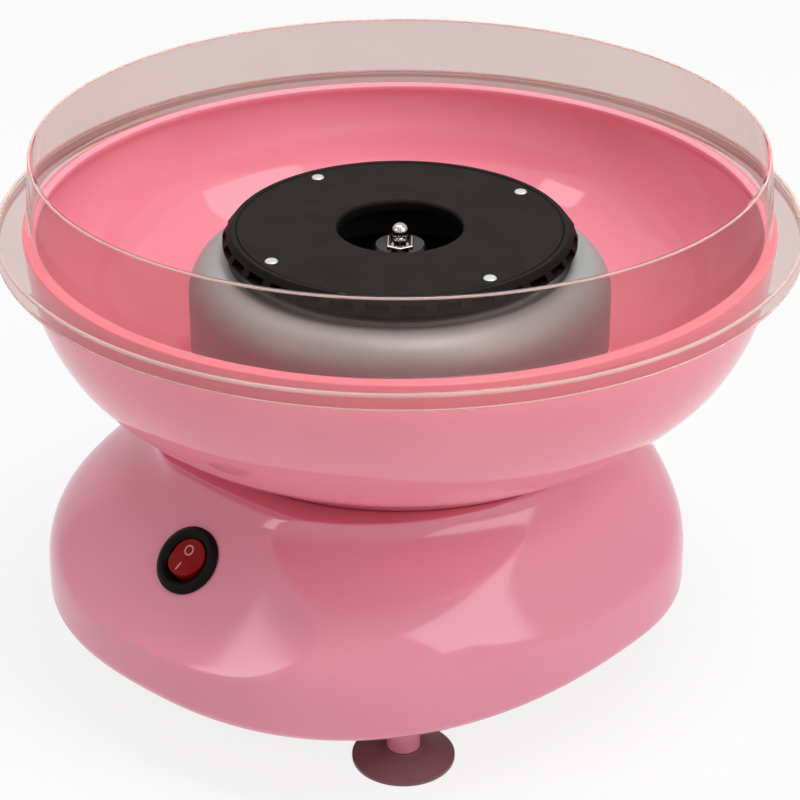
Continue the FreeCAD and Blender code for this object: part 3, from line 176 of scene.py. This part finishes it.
def addNode(tree, kind, **values):
    made = tree.nodes.new(kind)
    for key, value in values.items():
        if key in made.inputs:
            made.inputs[key].default_value = value
        else:
            setattr(made, key, value)
    return made


def noiseOf(tree, scale, detail, roughness=0.5, stretch=(1, 1, 1)):
    place = addNode(tree, "ShaderNodeTexCoord")
    mapping = addNode(tree, "ShaderNodeMapping", Scale=stretch)
    noise = addNode(tree, "ShaderNodeTexNoise", Scale=scale, Detail=detail, Roughness=roughness)
    tree.links.new(place.outputs["Object"], mapping.inputs["Vector"])
    tree.links.new(mapping.outputs["Vector"], noise.inputs["Vector"])
    return noise.outputs["Fac"]


def ranged(tree, noise, low, high):
    # spreads the middle of a noise, where most of it lies, from low to high
    spread = addNode(tree, "ShaderNodeMapRange")
    for socket, value in (("From Min", 0.3), ("From Max", 0.7), ("To Min", low), ("To Max", high)):
        spread.inputs[socket].default_value = value
    tree.links.new(noise, spread.inputs["Value"])
    return spread.outputs["Result"]


def blended(tree, share, first, second):
    mix = addNode(tree, "ShaderNodeMix", data_type="RGBA")
    firstColour, secondColour, result = mix.inputs[6], mix.inputs[7], mix.outputs[2]
    tree.links.new(share, mix.inputs["Factor"])
    firstColour.default_value = (*first, 1)
    secondColour.default_value = (*second, 1)
    return result


def bumped(tree, shader, height, strength, depth):
    bump = addNode(tree, "ShaderNodeBump", Strength=strength, Distance=depth * mm)
    tree.links.new(height, bump.inputs["Height"])
    tree.links.new(bump.outputs["Normal"], shader.inputs["Normal"])
    return bump


def shade(red, green, blue):
    # a colour as it is seen, 0 to 255, in the numbers that a shader takes
    def linear(value):
        value = value / 255
        return value / 12.92 if value <= 0.04045 else ((value + 0.055) / 1.055) ** 2.4
    return linear(red), linear(green), linear(blue)


plastic = {"cloudScale": 14, "glossScale": 90, "grainStrength": 0.25, "waveScale": 22, "waveStrength": 0.5,
           "waveDepth": 0.02}


def mouldedPlastic(name, main, worn, roughness, grain=1400, grainDepth=0.01, gloss=0.5):
    # injection-moulded plastic: faint cloudy colour, flow waves and a fine skin
    finish, tree, shader = newFinish(name, Specular_IOR_Level=gloss)
    cloud = noiseOf(tree, plastic["cloudScale"], 4)
    tree.links.new(blended(tree, ranged(tree, cloud, 0, 1), main, worn), shader.inputs["Base Color"])
    tree.links.new(ranged(tree, noiseOf(tree, plastic["glossScale"], 5), *roughness), shader.inputs["Roughness"])
    skin = addNode(tree, "ShaderNodeBump", Strength=plastic["grainStrength"], Distance=grainDepth * mm)
    tree.links.new(noiseOf(tree, grain, 2), skin.inputs["Height"])
    flow = bumped(tree, shader, noiseOf(tree, plastic["waveScale"], 1), plastic["waveStrength"],
                  plastic["waveDepth"])
    tree.links.new(skin.outputs["Normal"], flow.inputs["Normal"])
    return finish


metal = {"patchScale": 40, "markRoughness": 0.7, "markStrength": 0.3}


def metalFinish(name, main, dull, roughness, grain=(1, 1, 30), scale=60, depth=0.01, bare=1.0):
    # metal with fine working marks along one direction and dull patches; bare is less where it is satin coated
    finish, tree, shader = newFinish(name, Metallic=bare)
    patches = noiseOf(tree, metal["patchScale"], 5)
    tree.links.new(blended(tree, ranged(tree, patches, 0, 1), main, dull), shader.inputs["Base Color"])
    marksNoise = noiseOf(tree, scale, 6, metal["markRoughness"], grain)
    tree.links.new(ranged(tree, marksNoise, *roughness), shader.inputs["Roughness"])
    bumped(tree, shader, marksNoise, metal["markStrength"], depth)
    return finish


def clearFinish(name, look):
    # clear moulded plastic, faintly milky; made pale and half clear, it is also the painted highlight along the
    # guard's edges
    finish, tree, shader = newFinish(name, Transmission_Weight=look["clear"], IOR=look["bending"],
                                     Coat_Weight=look["coat"], Coat_Roughness=0.03)
    cloud = ranged(tree, noiseOf(tree, *look["cloudNoise"]), 0, 1)
    tree.links.new(blended(tree, cloud, look["main"], look["cloudy"]), shader.inputs["Base Color"])
    haze = ranged(tree, noiseOf(tree, *look["hazeNoise"]), *look["roughness"])
    tree.links.new(haze, shader.inputs["Roughness"])
    bumped(tree, shader, noiseOf(tree, *look["rippleNoise"]), 0.2, look["rippleDepth"])
    return finish


def letLampsThrough(finish, tint):
    tree = finish.node_tree
    path = addNode(tree, "ShaderNodeLightPath")
    see = addNode(tree, "ShaderNodeBsdfTransparent", Color=(*tint, 1))
    mix = addNode(tree, "ShaderNodeMixShader")
    tree.links.new(path.outputs["Is Shadow Ray"], mix.inputs[0])
    tree.links.new(tree.nodes["Principled BSDF"].outputs["BSDF"], mix.inputs[1])
    tree.links.new(see.outputs["BSDF"], mix.inputs[2])
    tree.links.new(mix.outputs["Shader"], tree.nodes["Material Output"].inputs["Surface"])


pinkShell = mouldedPlastic("pinkShell", shade(240, 152, 174), shade(236, 144, 167), (0.08, 0.13), 900, 0.004)
pinkBowl = mouldedPlastic("pinkBowl", shade(248, 150, 167), shade(245, 143, 161), (0.05, 0.08), 900, 0.002)
blackPlastic = mouldedPlastic("blackPlastic", shade(18, 17, 15), shade(23, 21, 19), (0.4, 0.5), gloss=0.06)
headBlack = mouldedPlastic("headBlack", shade(17, 15, 13), shade(21, 19, 17), (0.4, 0.5), 1100, gloss=0.05)
rockerRed = mouldedPlastic("rockerRed", shade(150, 16, 17), shade(130, 12, 13), (0.3, 0.4), gloss=0.1)
markWhite = mouldedPlastic("markWhite", shade(226, 176, 158), shade(212, 160, 144), (0.4, 0.5))
cupRubber = mouldedPlastic("cupRubber", shade(150, 112, 114), shade(126, 92, 95), (0.32, 0.45), 700)
greyRubber = mouldedPlastic("greyRubber", shade(52, 50, 50), shade(64, 61, 60), (0.55, 0.7), 600)
ceramicWhite = mouldedPlastic("ceramicWhite", shade(232, 226, 214), shade(214, 206, 190), (0.35, 0.6), 500, 0.05)
ferriteGrey = mouldedPlastic("ferriteGrey", shade(60, 58, 58), shade(44, 42, 42), (0.5, 0.7), 400, 0.05)
boardGreen = mouldedPlastic("boardGreen", shade(24, 92, 52), shade(18, 72, 42), (0.3, 0.4), 600)
ringMetal = metalFinish("ringMetal", shade(158, 163, 162), shade(151, 156, 155), (0.44, 0.5), grain=(1, 1, 6),
                        scale=40, depth=0.0003, bare=0.3)
# the hub and its nut are steel made much darker than the other steel: painted shade for the weak light and dark
# reflections on the hub
shadedHubSteel = metalFinish("shadedHubSteel", shade(64, 62, 60), shade(50, 48, 46), (0.24, 0.34))
polishedSteel = metalFinish("polishedSteel", shade(186, 184, 180), shade(166, 164, 160), (0.14, 0.22))
rivetGrey = metalFinish("rivetGrey", shade(206, 206, 204), shade(190, 190, 188), (0.5, 0.6))
zincSteel = metalFinish("zincSteel", shade(180, 182, 184), shade(150, 152, 156), (0.28, 0.45))
elementSteel = metalFinish("elementSteel", shade(128, 122, 116), shade(96, 90, 86), (0.35, 0.55))
brassFinish = metalFinish("brassFinish", shade(206, 170, 92), shade(176, 140, 70), (0.25, 0.4))
clearPlastic = clearFinish("clearPlastic", {
    "clear": 0.99, "bending": 1.02, "coat": 0.2, "main": shade(222, 203, 200), "cloudy": shade(216, 196, 193),
    "cloudNoise": (9, 4), "hazeNoise": (120, 4), "roughness": (0.03, 0.07), "rippleNoise": (30, 2),
    "rippleDepth": 0.03})
letLampsThrough(clearPlastic, (0.86, 0.8, 0.79))
# pale, half-clear beads along the guard's top, flange and skirt edges: a painted highlight for the light lines
# that those edges catch
paintedEdgeHighlight = clearFinish("paintedEdgeHighlight", {
    "clear": 0.6, "bending": 1.05, "coat": 0.0, "main": shade(250, 232, 226), "cloudy": shade(242, 222, 216),
    "cloudNoise": (30, 3), "hazeNoise": (160, 4), "roughness": (0.1, 0.2), "rippleNoise": (60, 2),
    "rippleDepth": 0.02})

finishedNodes = [
    (pinkShell, ["bottom_plate"]),
    (cupRubber, ["suction_foot_front_left", "suction_foot_front_right", "suction_foot_rear_right",
                 "suction_foot_rear_left"]),
    (blackPlastic, ["switch_body", "cooling_fan", "motor_end_cap", "cord_gland", "board_diodes",
                    "board_capacitor"]),
    (headBlack, ["head_top_plate", "head_vent_ring", "head_pan"]),
    (rockerRed, ["rocker"]),
    (greyRubber, ["motor_grommets"]),
    (ceramicWhite, ["heater_posts", "heater_bushes", "board_standoffs"]),
    (ferriteGrey, ["motor_magnets", "motor_brushes"]),
    (boardGreen, ["rectifier_board"]),
    (ringMetal, ["heater_dish", "heater_lip_ring"]),
    (shadedHubSteel, ["head_hub", "hub_nut"]),
    (polishedSteel, ["motor_shaft", "drive_pin", "hub_clip"]),
    (rivetGrey, ["head_rivets"]),
    (zincSteel, ["bottom_screws", "thermal_cutoff", "motor_can", "rotor_core", "motor_bracket", "motor_screws",
                 "mount_screws"]),
    (elementSteel, ["heating_element"]),
    (brassFinish, ["switch_terminals", "upper_bearing", "lower_bearing", "commutator"]),
]
for finish, nodeNames in finishedNodes:
    for nodeName in nodeNames:
        nodes[nodeName].data.materials.clear()
        nodes[nodeName].data.materials.append(finish)
print("finishes set")


base = {
    "sideReach": 105.3, "frontReach": 128.0, "rearReach": 77.0, "squareness": 2.38,
    "bottomLevel": 18.6, "bellyLevel": 31.7, "deckLevel": 84.0, "bottomShare": 0.81, "bottomBend": 2.75,
    "deckSide": 79.4, "deckFront": 92.0, "deckRear": 80.0, "shoulderBend": 3.66, "shoulderDrop": 2.35,
    "panelRadius": 350.0, "panelLevel": 66.0, "creaseSoftness": 0.9, "wall": 2.6,
    "bottomRim": 16.0, "rimRounding": 1.2, "deckRounding": 0.8, "deckBorder": 2.4,
    "spindleHole": 9.0, "deckDisc": 39.0,
    "panels": [(-90, 105.0, 45.0), (0, 90.5, 37.0), (90, 74.5, 0.0), (180, 90.5, 37.0)],  # bearing, reach, slope
    "turnSteps": 560, "edgeRows": 4, "lowerRows": 14, "upperRows": 72, "innerRows": 16,
}
switch = {"lean": 45.0, "seat": (0, -104.717, 65.717), "holeRadius": 9.8, "holeDepth": 24}
gland = {"middle": (0, 73.5, 34), "holeRadius": 5.0, "holeDepth": 24}


def bodyReach(turn, level):
    # the base's own rounded-square outline at one level, before its panels
    front = sin(turn) < 0
    reach = base["frontReach"] if front else base["rearReach"]
    neck = base["deckFront"] if front else base["deckRear"]
    side = base["sideReach"]
    squareness = base["squareness"]
    if level < base["bellyLevel"]:
        fall = (base["bellyLevel"] - level) / (base["bellyLevel"] - base["bottomLevel"])
        share = 1 - (1 - base["bottomShare"]) * fall ** base["bottomBend"]
        side *= share
        reach *= share
    else:
        rise = min(1.0, (level - base["bellyLevel"]) / (base["deckLevel"] - base["bellyLevel"]))
        share = (1 - rise ** base["shoulderBend"]) ** base["shoulderDrop"]
        side = base["deckSide"] + share * (side - base["deckSide"])
        reach = neck + share * (reach - neck)
        squareness = 2 + share * (squareness - 2)
    across = abs(cos(turn)) / side
    along = abs(sin(turn)) / reach
    return (across ** squareness + along ** squareness) ** (-1 / squareness)


def panelReach(turn, level, bearing, reach, slope, unlimited=1e3):
    # how far a wide, gently bowed panel lets the body reach
    lean = radians(slope)
    face = reach - (level - base["panelLevel"]) * tan(lean)
    across = sin(turn - bearing)
    out = cos(turn - bearing)
    if out < 0.1:  # the panel faces another way
        return unlimited
    bowed = across * across / (2 * base["panelRadius"] * cos(lean))
    if bowed < 1e-9:  # straight ahead
        return face
    return (sqrt(out * out + 4 * bowed * face) - out) / (2 * bowed)


def baseReach(turn, level):
    reach = bodyReach(turn, level)
    for bearing, face, slope in base["panels"]:
        limit = panelReach(turn, level, radians(bearing), face, slope)
        reach = (reach + limit - hypot(reach - limit, base["creaseSoftness"])) / 2
    return reach


def baseRow(level, inset, height):
    row = []
    for step in range(base["turnSteps"]):
        turn = 2 * pi * step / base["turnSteps"]
        reach = baseReach(turn, level) - inset
        row.append((reach * cos(turn), reach * sin(turn), height))
    return row


def makeBase():
    bottom, belly, deck = base["bottomLevel"], base["bellyLevel"], base["deckLevel"]
    wall, rimRounding, deckRounding = base["wall"], base["rimRounding"], base["deckRounding"]
    swings = [radians(90 * step / base["edgeRows"]) for step in range(base["edgeRows"] + 1)]
    rows = [baseRow(bottom, base["bottomRim"], bottom + wall), baseRow(bottom, base["bottomRim"], bottom),
            baseRow(bottom, rimRounding * 2, bottom)]
    for swing in swings:
        height = bottom + rimRounding * (1 - cos(swing))
        rows.append(baseRow(height, rimRounding * (1 - sin(swing)), height))
    for step in range(1, base["lowerRows"] + 1):
        height = bottom + rimRounding + (belly - bottom - rimRounding) * step / base["lowerRows"]
        rows.append(baseRow(height, 0, height))
    for step in range(1, base["upperRows"] + 1):
        height = belly + (deck - deckRounding - belly) * step / base["upperRows"]
        rows.append(baseRow(height, 0, height))
    for swing in swings[1:]:
        height = deck - deckRounding + deckRounding * sin(swing)
        rows.append(baseRow(deck, deckRounding * (1 - cos(swing)), height))
    rows.append(baseRow(deck, base["deckBorder"], deck))
    for radius, height in ((base["deckDisc"], deck), (base["spindleHole"], deck),
                           (base["spindleHole"], deck - wall), (base["deckDisc"], deck - wall)):
        rows.append(ringOf(radius, height, base["turnSteps"]))
    for step in range(base["innerRows"], -1, -1):
        height = bottom + wall + (deck - wall - bottom - wall) * step / base["innerRows"]
        rows.append(baseRow(height, wall, height))
    return addPiece("base_shell_skin", meshOfRows("base_shell_skin", rows, True), "base", pinkShell)


switchLean = radians(switch["lean"])
switchOut = Vector((0, -sin(switchLean), cos(switchLean)))
switchUp = Vector((0, cos(switchLean), sin(switchLean)))
baseShell = makeBase()
boredOut(baseShell, borer(switch["holeRadius"], switch["holeDepth"], switch["seat"], switchOut),
         borer(gland["holeRadius"], gland["holeDepth"], gland["middle"], (0, 1, 0)))
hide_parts("base_shell")

feet = {
    "places": {"front_left": (-63.0, -71.0), "front_right": (63.0, -71.0), "rear_right": (54.5, 44.0),
               "rear_left": (-54.5, 44.0)},
    "stemRadius": 5.6, "pinRadius": 3.2, "pinFoot": 2.8, "cupHeight": 4.4,
    "flareRadius": 7.2, "flareLow": 17.6, "flareHigh": 19.2, "root": 21.2, "turnSteps": 64,
}
for cornerName, footPlace in feet["places"].items():
    stemOutline = softened([
        (0, feet["pinFoot"]), (feet["pinRadius"], feet["pinFoot"]), (feet["pinRadius"], feet["cupHeight"]),
        (feet["stemRadius"], feet["cupHeight"]), (feet["stemRadius"], feet["flareLow"], 1.2),
        (feet["flareRadius"], feet["flareHigh"], 0), (feet["flareRadius"], feet["root"], 0),
        (0, feet["root"], 0)], 0.5)
    turnedPiece("foot_stem_" + cornerName, stemOutline, "base", pinkShell, feet["turnSteps"],
                footPlace)
print("base made")


bowl = {
    "hole": 73.5, "footLevel": 84.3, "footRadius": 79.0, "footTop": 87.4, "heelRadius": 82.0, "heelLevel": 88.6,
    "waistRadius": 115.2, "waistLevel": 113.8, "lowerCurve": 74.0, "topRadius": 125.3, "upperCurve": 64.0,
    "rimLow": 151.5, "rimLevel": 154.2, "rimRadius": 125.9, "mouthRadius": 121.3, "lip": 1.6, "wall": 2.6,
    "collarRadius": 76.1, "collarTop": 93.3, "heelLean": 67.0, "waistLean": 34.0, "turnSteps": 288,
}


def bowlOutline():
    wall, lip, rimLow, rimLevel = bowl["wall"], bowl["lip"], bowl["rimLow"], bowl["rimLevel"]
    lowerCurve, upperCurve = bowl["lowerCurve"], bowl["upperCurve"]
    heelLean, waistLean = radians(bowl["heelLean"]), radians(bowl["waistLean"])
    heel = (bowl["heelRadius"], bowl["heelLevel"])
    waist = (bowl["waistRadius"], bowl["waistLevel"])
    top = (bowl["topRadius"], rimLow)
    heelIn = (heel[0] - wall * cos(heelLean), heel[1] + wall * sin(heelLean))
    waistIn = (waist[0] - wall * cos(waistLean), waist[1] + wall * sin(waistLean))
    topIn = (top[0] - wall, top[1] - lip)
    outline = [(bowl["hole"], bowl["footLevel"]), (bowl["footRadius"], bowl["footLevel"]),
               (bowl["footRadius"], bowl["footTop"]), heel]
    outline += arcTo(heel, waist, lowerCurve, 1) + arcTo(waist, top, upperCurve, 1)
    outline += [(bowl["rimRadius"], rimLow), (bowl["rimRadius"], rimLevel), (bowl["mouthRadius"], rimLevel),
                (bowl["mouthRadius"], rimLevel - lip), topIn]
    outline += arcTo(topIn, waistIn, upperCurve - wall, -1) + arcTo(waistIn, heelIn, lowerCurve - wall, -1)
    outline += [(bowl["collarRadius"], heel[1] + wall / 2), (bowl["collarRadius"], bowl["collarTop"]),
                (bowl["hole"], bowl["collarTop"])]
    return softened(outline, 0.6)


bowlSkin = turnedPiece("bowl_skin", bowlOutline(), "bowl", pinkBowl, bowl["turnSteps"])
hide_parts("bowl")


guard = {
    "wall": 1.6, "flangeLow": 154.5, "footRadius": 124.6, "topRadius": 122.3, "top": 180.6, "skirtInner": 133.4,
    "skirtRadius": 135.0, "skirtLow": 150.4, "bevel": 0.9, "turnSteps": 288, "beadSides": 12,
    "gateBearing": 33.0, "gateSteps": 32,
    "gateProfile": [(0, -0.9), (0.8, -0.8), (1.2, -0.2), (1.2, 0.2), (0.8, 0.5), (0, 0.6)],  # about the top edge
}
guardEdgeHighlights = {  # radius, level and half thickness of the pale bead along each edge, a painted highlight line
    "guard_top_edge_highlight": (guard["topRadius"] - 0.42, guard["top"] - 0.42, 0.4),
    "guard_flange_edge_highlight": (guard["skirtInner"] + 0.7, guard["flangeLow"] + 0.8, 0.65),
    "guard_skirt_edge_highlight": (guard["skirtRadius"] - 0.36, guard["skirtLow"] + 0.36, 0.32),
}


def guardOutline():
    # each corner is its radius, its level and its rounding
    wall, top, bevel, flangeLow = guard["wall"], guard["top"], guard["bevel"], guard["flangeLow"]
    topRadius, footRadius = guard["topRadius"], guard["footRadius"]
    skirtInner, skirtLow = guard["skirtInner"], guard["skirtLow"]
    flangeHigh = flangeLow + wall
    return softened([
        (topRadius - wall, top, 0.7), (footRadius - wall, flangeLow, 1.2), (skirtInner, flangeLow, 0.3),
        (skirtInner, skirtLow, 0.4), (guard["skirtRadius"], skirtLow, 0.5),
        (skirtInner + bevel, flangeHigh - bevel, 0.8), (skirtInner, flangeHigh, 0.8),
        (footRadius, flangeHigh, 1.5), (topRadius, top, 0.7)], 0.5, 5)


# a pale bead turned along one of the guard's edges: a painted highlight line
def makeEdgeHighlight(name, radius, level, half):
    outline = []
    for side in range(guard["beadSides"]):
        swing = radians(360 / guard["beadSides"] * side)
        outline.append((radius + half * cos(swing), level + half * sin(swing)))
    turnedPiece(name, outline, "guard", paintedEdgeHighlight, guard["turnSteps"])


def makeGateMark():
    # the nub that the moulding gate leaves on the guard's top edge
    turn = radians(guard["gateBearing"])
    middle = guard["topRadius"] - guard["wall"] / 2
    outline = [(radius, guard["top"] + rise) for radius, rise in guard["gateProfile"]]
    turnedPiece("guard_gate_mark", outline, "guard", clearPlastic, guard["gateSteps"],
                (middle * sin(turn), -middle * cos(turn)))


makeGateMark()
for highlightName, (radius, level, half) in guardEdgeHighlights.items():
    makeEdgeHighlight(highlightName, radius, level, half)
guardSkin = turnedPiece("splash_guard_skin", guardOutline(), "guard", clearPlastic,
                        guard["turnSteps"])
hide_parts("splash_guard")
print("bowl and guard made")


cover = {"radius": 72.0, "low": 84.0, "top": 139.5, "edge": 58.0, "round": 13.0, "wall": 1.5, "roundSteps": 16}


def coverOutline():
    radius, low, top, wall, bend = cover["radius"], cover["low"], cover["top"], cover["wall"], cover["round"]
    swings = [radians(90 * step / cover["roundSteps"]) for step in range(cover["roundSteps"] + 1)]

    def shoulder(swing, depth):
        reach = bend - depth
        return radius - bend + reach * cos(swing), top - bend + reach * sin(swing), 0

    outline = [(radius - wall, low), (radius, low), (radius, top - bend, 0)]
    outline += [shoulder(swing, 0) for swing in swings[1:]]
    outline += [(cover["edge"], top), (cover["edge"], top - wall)]
    outline += [shoulder(swing, wall) for swing in reversed(swings)]
    return softened(outline, 0.4)


coverSkin = turnedPiece("heater_cover_skin", coverOutline(), "base", ringMetal)
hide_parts("heater_cover")
print("heater cover made")


marks = {
    "pivot": (0, -103.3029, 64.3029), "tilt": -9.0, "crown": 1.2, "pivotDepth": 2.0, "slant": 9.0,
    "ringAt": (-0.9, 2.6), "barAt": (-0.9, -3.6), "rise": 0.16, "ringRadius": 1.55, "wire": 0.26,
    "barLength": 3.2, "barEnd": 0.15, "barSquareness": 8, "lift": 0.4, "ringSteps": 48, "barSteps": 12,
    "wireSides": 8,
}


def onRocker(across, up, rise):
    # a point on the rocker's two facets, which meet in a valley along its middle
    lean = radians(marks["tilt"])
    slope = tan(radians(marks["slant"]))
    out = marks["pivotDepth"] + marks["crown"] + slope * abs(up) + rise
    turnedUp = up * cos(lean) - out * sin(lean)
    turnedOut = up * sin(lean) + out * cos(lean)
    return tuple(Vector(marks["pivot"]) + Vector((across, 0, 0)) + switchUp * turnedUp + switchOut * turnedOut)


def makeMarks():
    wire, rise = marks["wire"], marks["rise"]
    swings = [2 * pi * side / marks["wireSides"] for side in range(marks["wireSides"])]
    rises = [rise * (marks["lift"] + sin(swing)) for swing in swings]
    across, up = marks["ringAt"]
    rows = []
    for step in range(marks["ringSteps"]):
        turn = 2 * pi * step / marks["ringSteps"]
        radii = [marks["ringRadius"] + wire * cos(swing) for swing in swings]
        rows.append([onRocker(across + radius * cos(turn), up + radius * sin(turn), height)
                     for radius, height in zip(radii, rises)])
    addPiece("switch_mark_off", meshOfRows("switch_mark_off", rows, True), "rocker", markWhite)
    across, up = marks["barAt"]
    middle = marks["barSteps"] / 2
    rows = []
    for step in range(marks["barSteps"] + 1):
        along = marks["barLength"] * (step / marks["barSteps"] - 0.5)
        roundness = 1 - (abs(step - middle) / middle) ** marks["barSquareness"]
        half = wire * sqrt(max(marks["barEnd"], roundness))
        rows.append([onRocker(across + half * cos(swing), up + along, height)
                     for swing, height in zip(swings, rises)])
    addPiece("switch_mark_on", meshOfRows("switch_mark_on", rows), "rocker", markWhite)


makeMarks()
print("switch marks made")


studio = {
    "target": (0, 0, 0.0828), "distance": 0.832, "azimuth": 40.9, "elevation": 27.95, "lens": 106.9,
    "sensor": 36, "fillLight": 0.27, "lampTarget": (0, 0, 0.09), "floorSize": 12.0, "floorWhite": 0.84,
    "floorGrey": 0.75, "floorRoughness": 0.9,
}
softboxes = {  # place, width, height and power
    "key_softbox": ((1.3, 0.15, 1.15), 1.1, 1.1, 11),
    "window_softbox": ((-0.47, -1.18, 0.88), 0.4, 0.4, 1.8),
    "rear_softbox": ((-0.9, -0.2, 1.8), 0.7, 0.7, 6),
    "top_softbox": ((0.25, 0.1, 1.8), 0.6, 0.6, 18),
}


def seenWhite(tree):
    # 1 on the rays from the camera, from gloss and through clear plastic, 0 on the rays that light the object
    path = addNode(tree, "ShaderNodeLightPath")
    first = addNode(tree, "ShaderNodeMath", operation="MAXIMUM")
    both = addNode(tree, "ShaderNodeMath", operation="MAXIMUM")
    tree.links.new(path.outputs["Is Camera Ray"], first.inputs[0])
    tree.links.new(path.outputs["Is Glossy Ray"], first.inputs[1])
    tree.links.new(first.outputs[0], both.inputs[0])
    tree.links.new(path.outputs["Is Transmission Ray"], both.inputs[1])
    return both.outputs[0]


def mixedIn(tree, share, first, second, result):
    mix = addNode(tree, "ShaderNodeMixShader")
    tree.links.new(share, mix.inputs[0])
    tree.links.new(first, mix.inputs[1])
    tree.links.new(second, mix.inputs[2])
    tree.links.new(mix.outputs["Shader"], result)


def floorFinish():
    # white with the object's soft shadow left on it
    grey = studio["floorGrey"]
    finish, tree, shader = newFinish("paleFloor", Base_Color=(grey, grey, grey, 1),
                                     Roughness=studio["floorRoughness"])
    white = addNode(tree, "ShaderNodeEmission", Strength=1.0)
    share = addNode(tree, "ShaderNodeMath", operation="MULTIPLY")
    share.inputs[1].default_value = studio["floorWhite"]
    tree.links.new(seenWhite(tree), share.inputs[0])
    mixedIn(tree, share.outputs[0], shader.outputs["BSDF"], white.outputs["Emission"],
            tree.nodes["Material Output"].inputs["Surface"])
    return finish


def makeWorld():
    world = bpy.data.worlds.new("studio")
    bpy.context.scene.world = world
    world.use_nodes = True
    tree = world.node_tree
    plain = tree.nodes["Background"]
    plain.inputs["Color"].default_value = (1, 1, 1, 1)
    plain.inputs["Strength"].default_value = studio["fillLight"]
    white = addNode(tree, "ShaderNodeBackground", Color=(1, 1, 1, 1), Strength=1.0)
    mixedIn(tree, seenWhite(tree), plain.outputs["Background"], white.outputs["Background"],
            tree.nodes["World Output"].inputs["Surface"])


def makeFloor():
    mesh = bpy.data.meshes.new("studio_floor")
    half = studio["floorSize"] / 2
    mesh.from_pydata([(-half, -half, 0), (half, -half, 0), (half, half, 0), (-half, half, 0)], [], [(0, 1, 2, 3)])
    floor = bpy.data.objects.new("studio_floor", mesh)
    bpy.context.scene.collection.objects.link(floor)
    mesh.materials.append(floorFinish())


def makeSoftbox(name, place, width, height, power):
    lamp = bpy.data.lights.new(name, "AREA")
    lamp.shape = "RECTANGLE"
    lamp.size = width
    lamp.size_y = height
    lamp.energy = power
    holder = bpy.data.objects.new(name, lamp)
    bpy.context.scene.collection.objects.link(holder)
    holder.location = place
    aim = Vector(studio["lampTarget"]) - Vector(place)
    holder.rotation_euler = aim.to_track_quat("-Z", "Y").to_euler()


def makeCamera():
    data = bpy.data.cameras.new("camera")
    data.lens = studio["lens"]
    data.sensor_width = studio["sensor"]
    camera = bpy.data.objects.new("camera", data)
    bpy.context.scene.collection.objects.link(camera)
    turn, lift = radians(studio["azimuth"]), radians(studio["elevation"])
    back = Vector((sin(turn) * cos(lift), -cos(turn) * cos(lift), sin(lift)))
    camera.location = Vector(studio["target"]) + back * studio["distance"]
    camera.rotation_euler = back.to_track_quat("Z", "Y").to_euler()
    bpy.context.scene.camera = camera


makeFloor()
makeWorld()
for boxName, (place, width, height, power) in softboxes.items():
    makeSoftbox(boxName, place, width, height, power)
makeCamera()
bpy.context.scene.view_settings.view_transform = "Standard"
print("studio set")
